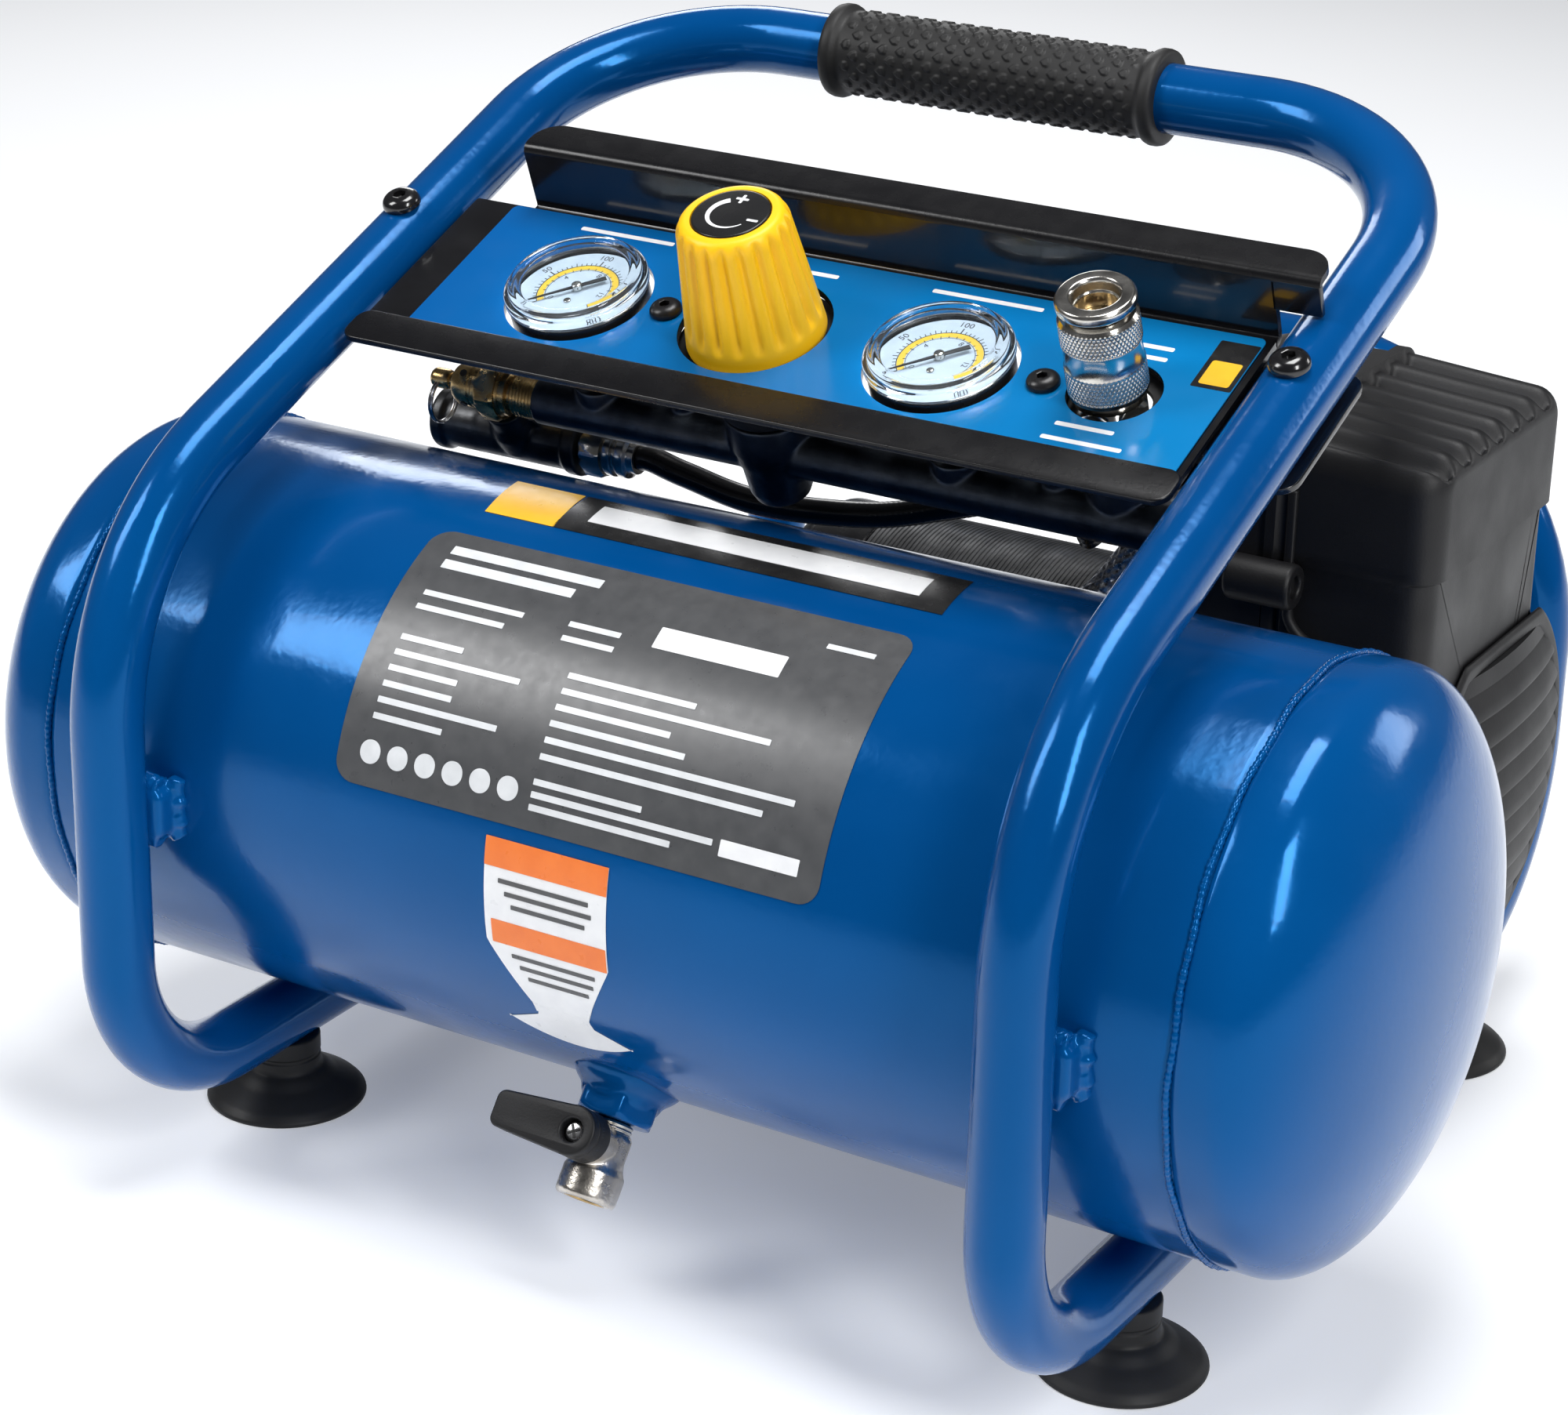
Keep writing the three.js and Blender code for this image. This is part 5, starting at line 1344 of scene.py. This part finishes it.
def drain_lever():
    hub_r, tip_r = 7, 2.6
    hub = soften([(0, 9.8), (6.9, 9.8), (hub_r, 10.4), (hub_r, 15), (0, 15)], 0.3)
    turn = [math.radians(-105 + 210 * k / 28) for k in range(29)]
    outline = [(hub_r * math.cos(a), hub_r * math.sin(a)) for a in turn]
    tip = [(-22.4 - tip_r * math.sin(a), tip_r + tip_r * math.cos(a)) for a in quarter(6)]
    outline += tip + [(x, -y) for x, y in reversed(tip)]
    lower = prism(outline, 13.4, 16.6, 0.5)
    upper = plate([outline, circle(3.3, 40)], 16.3, 20, 0.7)
    piece("lever_arm", joined(lathe(hub, 56), lower, upper), "plastic", "drain_lever", STEM_AT)
    screw = lathe(soften([(0, 16.7), (2.9, 16.7), (2.9, 17.6), (2.2, 18.3), (0, 18.5)], 0.3), 40)
    slots = [moved(block(-1.9, 1.9, -0.35, 0.35, 18.1, 18.62, 0.1, 0.05), Matrix.Rotation(a, 4, "Z")) for a in
             (0.5, 0.5 + math.pi / 2)]
    piece("lever_screw", screw, "steel", "drain_lever_screw", STEM_AT)
    extra("lever_screw_cross", joined(*slots), "ink", "drain_lever_screw", STEM_AT)


# Motor, pump and fan

def motor():
    left, right, r = MOTOR.values()
    half_stack, lamination = 42, 1.5
    for name, closed, way in (("left", left, 1), ("right", right, -1)):
        opened = -way * (half_stack + 0.3)
        shoulder = closed + way * 8
        profile = [(11, closed), (15, closed), (16, closed + way * 1.5), (r - 8, closed + way * 1.5),
                   (r - 3, closed + way * 3), (r, shoulder), (r, opened), (r - 3, opened), (r - 3, shoulder),
                   (r - 8, closed + way * 5), (11, closed + way * 5), (11, closed)]
        rib = block(15, r - 5, -1.1, 1.1, *sorted((closed, closed + way * 3)), 0.5, 0.4)
        ribs = [moved(rib, Matrix.Rotation(a, 4, "Z")) for a in full_turn(8)]
        ear = lathe(soften([(0, shoulder), (4.2, shoulder), (4.2, opened), (0, opened)], 0.6), 24)
        ears = [moved(ear, Matrix.Rotation(TAU * (k + 0.5) / 4, 4, "Z") @ Matrix.Translation((r - 1.4, 0, 0)))
                for k in range(4)]
        shell = lathe(soften(profile, 1.0), 96)
        piece(f"motor_cap_{name}", joined(shell, *ribs, *ears), "satin_black", f"motor_end_{name}", SHAFT_AT)
        race = soften([(5.3, 0), (7, 0), (7.2, 0.4), (9, 0.4), (9.2, 0), (10.7, 0), (10.7, 5), (5.3, 5),
                       (5.3, 0)], 0.3)
        start = left if name == "left" else right - 5
        piece(f"bearing_ring_{name}", shifted(lathe(race, 64), z=start), "steel", f"bearing_{name}", SHAFT_AT)
    stack = [(22.8, -half_stack)]
    for k in range(int(2 * half_stack / lamination)):
        z = -half_stack + k * lamination
        stack += [(r - 0.35, z), (r, z + 0.3), (r, z + 1.2), (r - 0.35, z + lamination)]
    stack += [(22.8, half_stack), (22.8, -half_stack)]
    piece("stator_stack", lathe(stack, 96), "cast_dark", "motor_stator", SHAFT_AT)
    rotor = [(5.3, -40), (22, -40), (22, 40), (5.3, 40), (5.3, -40)]
    piece("rotor_core", lathe(soften(rotor, 0.8), 72), "laminated", "motor_rotor", SHAFT_AT)
    shaft = [(0, left + 1), (4, left + 1), (5, left + 2), (5, 149), (4, 150), (0, 150)]
    piece("shaft", lathe(shaft, 40), "steel", "motor_shaft", SHAFT_AT)


def pump():
    for node, material in (("eccentric", "steel"), ("crankcase", "aluminium"), ("piston", "aluminium")):
        carried(frame["nodes"][node], material)
    low, high, bore, r = AXIS_Z + 28.3, 178, 15.5, 17.6
    profile = [(bore, low), (r, low)]
    z = low + 19
    while z < high - 4:
        profile += [(r, z), (r + 2.9, z + 0.3), (r + 2.9, z + 2.1), (r, z + 2.4)]
        z += 9
    profile += [(r, high), (bore, high), (bore, low)]
    piece("cylinder_barrel", lathe(profile, 72), "aluminium", "cylinder", Matrix.Translation((PUMP_X, AXIS_Y, 0)))
    low = high + 0.3
    base = block(PUMP_X - 20.5, PUMP_X + 20.5, AXIS_Y - 24, AXIS_Y + 24, low, low + 6, 3, 0.8)
    fins = [block(PUMP_X - 20.2 + k * 7.6, PUMP_X - 17.8 + k * 7.6, AXIS_Y - 22, AXIS_Y + 22, low + 5, low + 22, 1,
                  0.6) for k in range(6)]
    port = moved(rod(6.5, 0, 20, 40), placed(HEAD_PORT, Y_AXIS, X_AXIS))
    piece("head_casting", joined(base, *fins, port), "aluminium", "cylinder_head")


def carried(node, material):
    """A CAD solid whose own shape is right, with its material."""
    node.data.materials.clear()
    node.data.materials.append(MATERIALS[material])


def fan():
    hub = lathe(soften([(5.3, 133), (12, 133), (12, 144), (10.6, 146), (5.3, 146), (5.3, 133)], 0.6), 64)
    rings = []
    for share in (i / 12 for i in range(13)):
        twist, half, thick = 0.75 - 0.3 * share, 6.2 + 1.6 * share, 0.9
        ring = []
        for a in full_turn(16):
            u, v = half * math.cos(a), thick * math.sin(a) + 0.9 * math.cos(a) ** 2
            ring.append((11 + 33 * share, u * math.cos(twist) - v * math.sin(twist),
                         139.5 + u * math.sin(twist) + v * math.cos(twist)))
        rings.append(ring)
    blades = [moved(loft(rings), Matrix.Rotation(a, 4, "Z")) for a in full_turn(7)]
    piece("fan_wheel", joined(hub, *blades), "smooth_plastic", "cooling_fan", SHAFT_AT)


# Shroud, fan guard, mounting plate and switch

def shroud_outline(inset):
    """Outline in Y and Z, counter-clockwise seen from the right, dense along the grooved top."""
    r = GUARD_R + 2 - inset
    front, back, top = SHROUD["front"] + inset, SHROUD["back"] - inset, SHROUD["top"] - inset
    corner = 11 - inset
    meet = math.acos((back - AXIS_Y) / r)
    points = [(AXIS_Y + r * math.cos(a), AXIS_Z + r * math.sin(a)) for a in
              (math.pi + (math.pi + meet) * k / 44 for k in range(45))]
    rise = points[-1][1]
    points += [(back, rise + (CREASE - 1 - rise) * k / 6) for k in range(1, 7)] + [(back, CREASE + 0.6)]
    points += [(back, CREASE + 4 + (top - corner - CREASE - 4) * k / 3) for k in range(3)]
    points += [(back - corner + corner * math.cos(a), top - corner + corner * math.sin(a)) for a in quarter(24)]
    span = back - front - 2 * corner
    points += [(back - corner - span * k / 132, top) for k in range(1, 132)]
    points += [(front + corner - corner * math.sin(a), top - corner + corner * math.cos(a)) for a in quarter(24)]
    points += [(front, top - corner + (CREASE + 4 - top + corner) * k / 3) for k in range(1, 4)]
    points += [(front, CREASE + 0.6)] + [(front, CREASE - 1 + (AXIS_Z - CREASE + 1) * k / 8) for k in range(9)]
    return points


def eased(value, start, end):
    t = min(max((value - start) / (end - start), 0.0), 1.0)
    return t * t * (3 - 2 * t)


def crown_drop(x, y, z):
    """How far the grooved crown lies below a level top."""
    share = min(max((z - 190) / (SHROUD["top"] - 190), 0.0), 1.0)
    slope = -0.6 + 3.1 * max(x - 114, 0) / 41
    along = eased(x, 114.0, 116.5) * (1 - eased(x, 157.5, 159.8))
    across = eased(y, 21, 24) * (1 - eased(y, 106, 109))
    groove = (0.5 + 0.5 * math.cos(TAU * (y - 28.5) / 12.2)) ** 1.4
    return slope * share + 4.5 * along * across * groove * eased(z, SHROUD["top"] - 6, SHROUD["top"] - 0.5)


def edge_rounding(z, nz, top, side, low):
    """Radius of the end's edge at a height on the outline, where its normal leans up by nz."""
    if z < AXIS_Z:
        return side + (low - side) * min((AXIS_Z - z) / 30, 1)
    return side + (top - side) * nz * nz


def shroud_ring(start, end, run, turn, radii, inner=0.0):
    """A section of one half. run goes from 0 at the seam to 1 at the end, and turn goes round the end's edge."""
    way = 1 if end > start else -1
    ring = []
    for (y0, z0), (y1, z1) in zip(shroud_outline(0), shroud_outline(1)):
        waist = way > 0 and z0 < CREASE
        rounding = edge_rounding(z0, z1 - z0, *radii)
        face = end - way * ((2.0 if waist else 0.0) + inner)
        if turn:
            x = face - way * rounding * (1 - math.sin(turn))
        else:
            x = start + (face - way * rounding - start) * run
        depth = (1.5 if waist else 0.0) + rounding * (1 - math.cos(turn)) + inner
        if way > 0 and not inner:
            depth -= 1.5 * (1 - eased(x, 113.4, 114.2))
        y, z = y0 + (y1 - y0) * depth, z0 + (z1 - z0) * depth
        if inner:
            z = min(z, SHROUD["top"] - 10.5)
        elif way > 0:
            z -= crown_drop(x, y0, z0)
        ring.append((x, y, z))
    return ring


def toward_axis(ring, radius, x):
    """The ring drawn in at the same angles to a circle about the fan's axis that is cut off level at the top."""
    out = []
    flat = GUARD_TOP - AXIS_Z - (GUARD_R - radius)
    for _, y, z in ring:
        dy, dz = y - AXIS_Y, z - AXIS_Z
        span = math.hypot(dy, dz)
        reach = min(radius, flat * span / dz) if dz > 1 and flat * span / dz < radius else radius
        out.append((x, AXIS_Y + dy * reach / span, AXIS_Z + dz * reach / span))
    return out


def creased(ring, level, x):
    """The ring with all that is above a level drawn down to it, towards the fan's axis."""
    out = []
    for at, y, z in ring:
        share = (level - AXIS_Z) / (z - AXIS_Z) if z > level else 1
        out.append((x if z > level else at, AXIS_Y + (y - AXIS_Y) * share, AXIS_Z + (z - AXIS_Z) * share))
    return out


def shroud_half(start, end, hole, radii):
    """Skin from the open seam round the closed end and back inside. start is the seam, end the closed face."""
    wall = SHROUD["wall"]
    way = 1 if end > start else -1
    outer = [shroud_ring(start, end, k / 56, 0, radii) for k in range(57)]
    outer += [shroud_ring(start, end, 1, turn, radii) for turn in quarter(8)[1:]]
    face = end - 2.0 if way > 0 else end
    if way > 0:
        outer += [creased(outer[-1], CREASE + 0.6, end), creased(outer[-1], CREASE - 1, face)]
    outer.append(toward_axis(outer[-1], hole + 1, face))
    outer.append(toward_axis(outer[-1], hole, face - way))
    outer.append(toward_axis(outer[-1], hole, face - way * (wall - 1)))
    inner_end = [(face - way * wall, y, z) for _, y, z in shroud_ring(start, end, 1, 0, radii, wall + 3)]
    inner_start = [(start, y, z) for _, y, z in inner_end]
    return loft(outer + [inner_end, inner_start], looped=True)


def shroud():
    left, seam, right, front = (SHROUD[k] for k in ("left", "seam", "right", "front"))
    standing = placed(Vector((0, front + 2, 0)), -Y_AXIS, X_AXIS)

    def foot_way(x0, x1):
        return block(x0, x1, AXIS_Y - 34, AXIS_Y + 34, 30, AXIS_Z - 24)
    fan_half = shroud_half(seam + 0.3, right, GUARD_R - 1.9, (6.5, 9, 4))
    piece("shroud_fan_half", bored(fan_half, foot_way(seam - 5, 114.3)), "plastic", "shroud_right", sharp=50)
    pump_half = shroud_half(seam, left, MOTOR["r"] + 2, (6, 7, 4))
    hose_way = moved(rod(9, -12, 12, 40), standing @ Matrix.Translation((89.5, 197, 0)))
    pump_half = bored(bored(pump_half, hose_way), foot_way(left - 5, seam + 5))
    piece("shroud_pump_half", pump_half, "plastic", "shroud_left", sharp=50)
    ridge = prism([(116, 130), (119, 130), (119, 204), (116, 204)], -0.6, 3.2, 0.9)
    extra("shroud_ridge", moved(ridge, standing), "plastic", "shroud_right")
    boss_at = placed(Vector((0, front - 4, 177.5)), X_AXIS, Y_AXIS)
    boss = soften([(0, 102), (5.7, 102), (6.5, 103), (6.5, 120.8), (5.9, 121.8), (3.7, 121.8), (3.2, 121.2),
                   (3.2, 109), (0, 109)], 0.4)
    extra("shroud_boss", lathe(boss, 48), "plastic", "shroud_right", boss_at)
    screw = soften([(0, 108.5), (2.9, 108.5), (2.9, 110.6), (2.2, 111.4), (0, 111.6)], 0.3)
    extra("shroud_screw", lathe(screw, 32), "steel", "shroud_right", boss_at)
    web = block(104, 120, front - 3.5, front + 3, 173, 182, 1.0, 0.6)
    extra("shroud_boss_web", web, "plastic", "shroud_right")
    line = [(118.5, 19.8, 173), (119.5, 19.2, 167), (124, 19.4, 162), (132, 20.2, 158.5), (142, 21.4, 156)]
    extra("shroud_flange", sweep(smooth_path(line, 8), 1.6, 16), "plastic", "shroud_right")


def guard_height(radius):
    """How far the guard's dome stands out at a distance from its centre."""
    share = min(radius / GUARD_R, 1.0)
    return 6.5 * (1 - share ** 2.6)


def fan_guard():
    """Domed guard cut off level at the top: rim, plain band, and louvres whose lower edges stand out."""
    base = SHROUD["right"] - 3.4
    at = placed(Vector((base, AXIS_Y, AXIS_Z)), X_AXIS, Y_AXIS)
    level = GUARD_TOP - AXIS_Z
    rim = soften([(48.5, -2.4), (52.7, -2.4), (52.7, 1.7), (GUARD_R, 1.7), (GUARD_R, 2.6), (53.6, 3.4),
                  (50.4, 3.4), (48.5, 1.6), (48.5, -2.4)], 0.6)

    def cut_level(angle, _, radius):
        rise = math.sin(angle)
        flat = level - (GUARD_R - radius)
        return min(radius, flat / rise) if rise > 0.1 else radius
    parts = [lathe(rim, 180, cut_level)]
    pitch, band_low, dome_r = 9.5, 37.0, 51
    louvre = [(0.0, -0.6), (2.2, 0.2), (5.0, 1.0), (7.4, 1.5), (8.4, 1.3), (8.7, 0.7), (8.3, 0.1), (6.6, -0.6),
              (4.4, -1.3), (2.0, -2.2), (0.2, -1.8)]
    for k in range(10):
        columns = [[] for _ in range(41)]
        for drop, out in louvre:
            v = band_low - 1.5 - pitch * k - drop + 2
            half = math.sqrt(max(50.6 ** 2 - v ** 2, 9.0))
            for i, column in enumerate(columns):
                u = -half + 2 * half * i / 40
                column.append((u, v, guard_height(min(math.hypot(u, v), dome_r)) + out + 1.4))
        parts.append(loft(columns))
    half = math.sqrt(50.8 ** 2 - band_low ** 2)
    columns = []
    for i in range(49):
        u = -half + 2 * half * i / 48
        high = min(level - 4.5, math.sqrt(max(51.2 ** 2 - u ** 2, 0.0)))
        heights = [band_low + (high - band_low) * share for share in (0, 0.35, 0.7, 1.0)]
        outside = [(u, v, guard_height(min(math.hypot(u, v), dome_r)) + 1.6) for v in heights]
        columns.append(outside + [(u, v, w - 2.0) for _, v, w in reversed(outside)])
    parts.append(loft(columns))
    parts.append(block(-1.5, 1.5, -49, level - 4, -2.6, 0.4, 0.6, 0.4))
    piece("guard_dome", joined(*parts), "plastic", "fan_guard", at, sharp=45)


def mount_plate():
    """Folded sheet across the rails, with its lips turned down and a rivet at each corner."""
    half, front, back, z, sheet = 142, 50, 116, 37.7, 3
    middle = z + sheet / 2
    section = folded([(front + 1.5, z - 12), (front + 1.5, middle), (back - 1.5, middle), (back - 1.5, z - 12)],
                     sheet, 2.5)
    lip_half = HALF_TRACK - TUBE_R - 2
    body = moved(loft([[(s, n, x) for s, n in section] for x in (-lip_half, lip_half)]),
                 placed(Vector((0, 0, 0)), X_AXIS, Y_AXIS))
    tabs = [prism(rounded_rect(*sorted((side * (lip_half - 1), side * half)), front + 3, back - 3, 4), z,
                  z + sheet, 0.5) for side, _ in SIDES]
    piece("mount_sheet", joined(body, *tabs), "gloss_black", "mount_plate")
    head = lathe(soften([(0, z + 2), (5.8, z + 2), (5.8, z + 4), (4.8, z + 5.4), (0, z + 6.4)], 0.6), 32)
    for side, name in SIDES:
        for y, row in ((front + 14, "front"), (back - 14, "rear")):
            extra(f"mount_rivet_{name}_{row}", shifted(head, side * 136, y), "steel", "mount_plate")


def switch():
    left, right, front, back, low, top = -122, -78, 62, 108, 41, 98
    centre = (left + right) / 2
    outline = rounded_rect(left, right, front, back, 5, 8)
    lid = prism(outline, top - 13.4, top, 2.4, 5)
    well = block(left + 12, right - 12, 74, 96, top - 6, top + 4, 1.5, 0.3)
    piece("switch_case", bored(lid, well), "plastic", "pressure_switch", sharp=45)
    body = prism(outline, low, top - 14, 1.6, 4)
    joint = prism(rounded_rect(left + 1, right - 1, front + 1, back - 1, 4, 8), low + 20, top - 8, 0.2)
    extra("switch_base", joined(body, joint), "smooth_plastic", "pressure_switch", sharp=45)
    collar = lathe(soften([(0, -2), (9, -2), (9, 4), (6.5, 5), (5.6, 14), (3.6, 14), (3.6, 2), (0, 2)], 0.5), 48)
    out = placed(Vector((centre, back, 62)), Y_AXIS, X_AXIS)
    extra("cord_gland", moved(joined(collar, nut(8.6, -1.0, 4.4)), out), "smooth_plastic", "pressure_switch")
    head = soften([(0, top - 1), (2.6, top - 1), (2.6, top + 0.4), (2.0, top + 1.0), (0, top + 1.1)], 0.3)
    for y, row in ((front + 6, "front"), (back - 6, "rear")):
        for x, side in ((left + 6, "left"), (right - 6, "right")):
            extra(f"switch_screw_{side}_{row}", shifted(lathe(head, 24), x, y), "steel", "pressure_switch")
    place = Matrix.Translation((centre, 85, top)) @ Matrix.Rotation(0.14, 4, "X")
    cap = prism(rounded_rect(-9.4, 9.4, -9.8, 9.8, 1.4), -0.5, 3.0, 0.9)
    piece("rocker_cap", cap, "red", "switch_rocker", place)
    low = 3.02
    ring = plate([circle(2.1, 32, (0, -5.2)), circle(1.4, 32, (0, -5.2))], low, low + 0.06)
    marks = joined(patch(-0.5, 0.5, 3.4, 6.8, low, 0.06), ring)
    extra("rocker_marks", marks, "label_white", "switch_rocker", place)


# Scene

look()
studio()
floor()

for side, name in SIDES:
    cage(side, name)
    foot(f"front_{name}", side * HALF_TRACK, FOOT_Y[0])
    foot(f"rear_{name}", side * HALF_TRACK, FOOT_Y[1])
    tank_head(side, name)
    saddle(side, name)
    seam_weld(side, name)
rear_weld()
grip()
mount_plate()
tank_shell()
drain_bung()
tank_labels()
drain_valve()
drain_lever()

panel_bracket()
panel_label()
fasteners()
for which in GAUGE_X:
    gauge(which)
knob()
coupler()
manifold()
safety_valve()
unloader()
hoses()

motor()
pump()
fan()
shroud()
fan_guard()
switch()
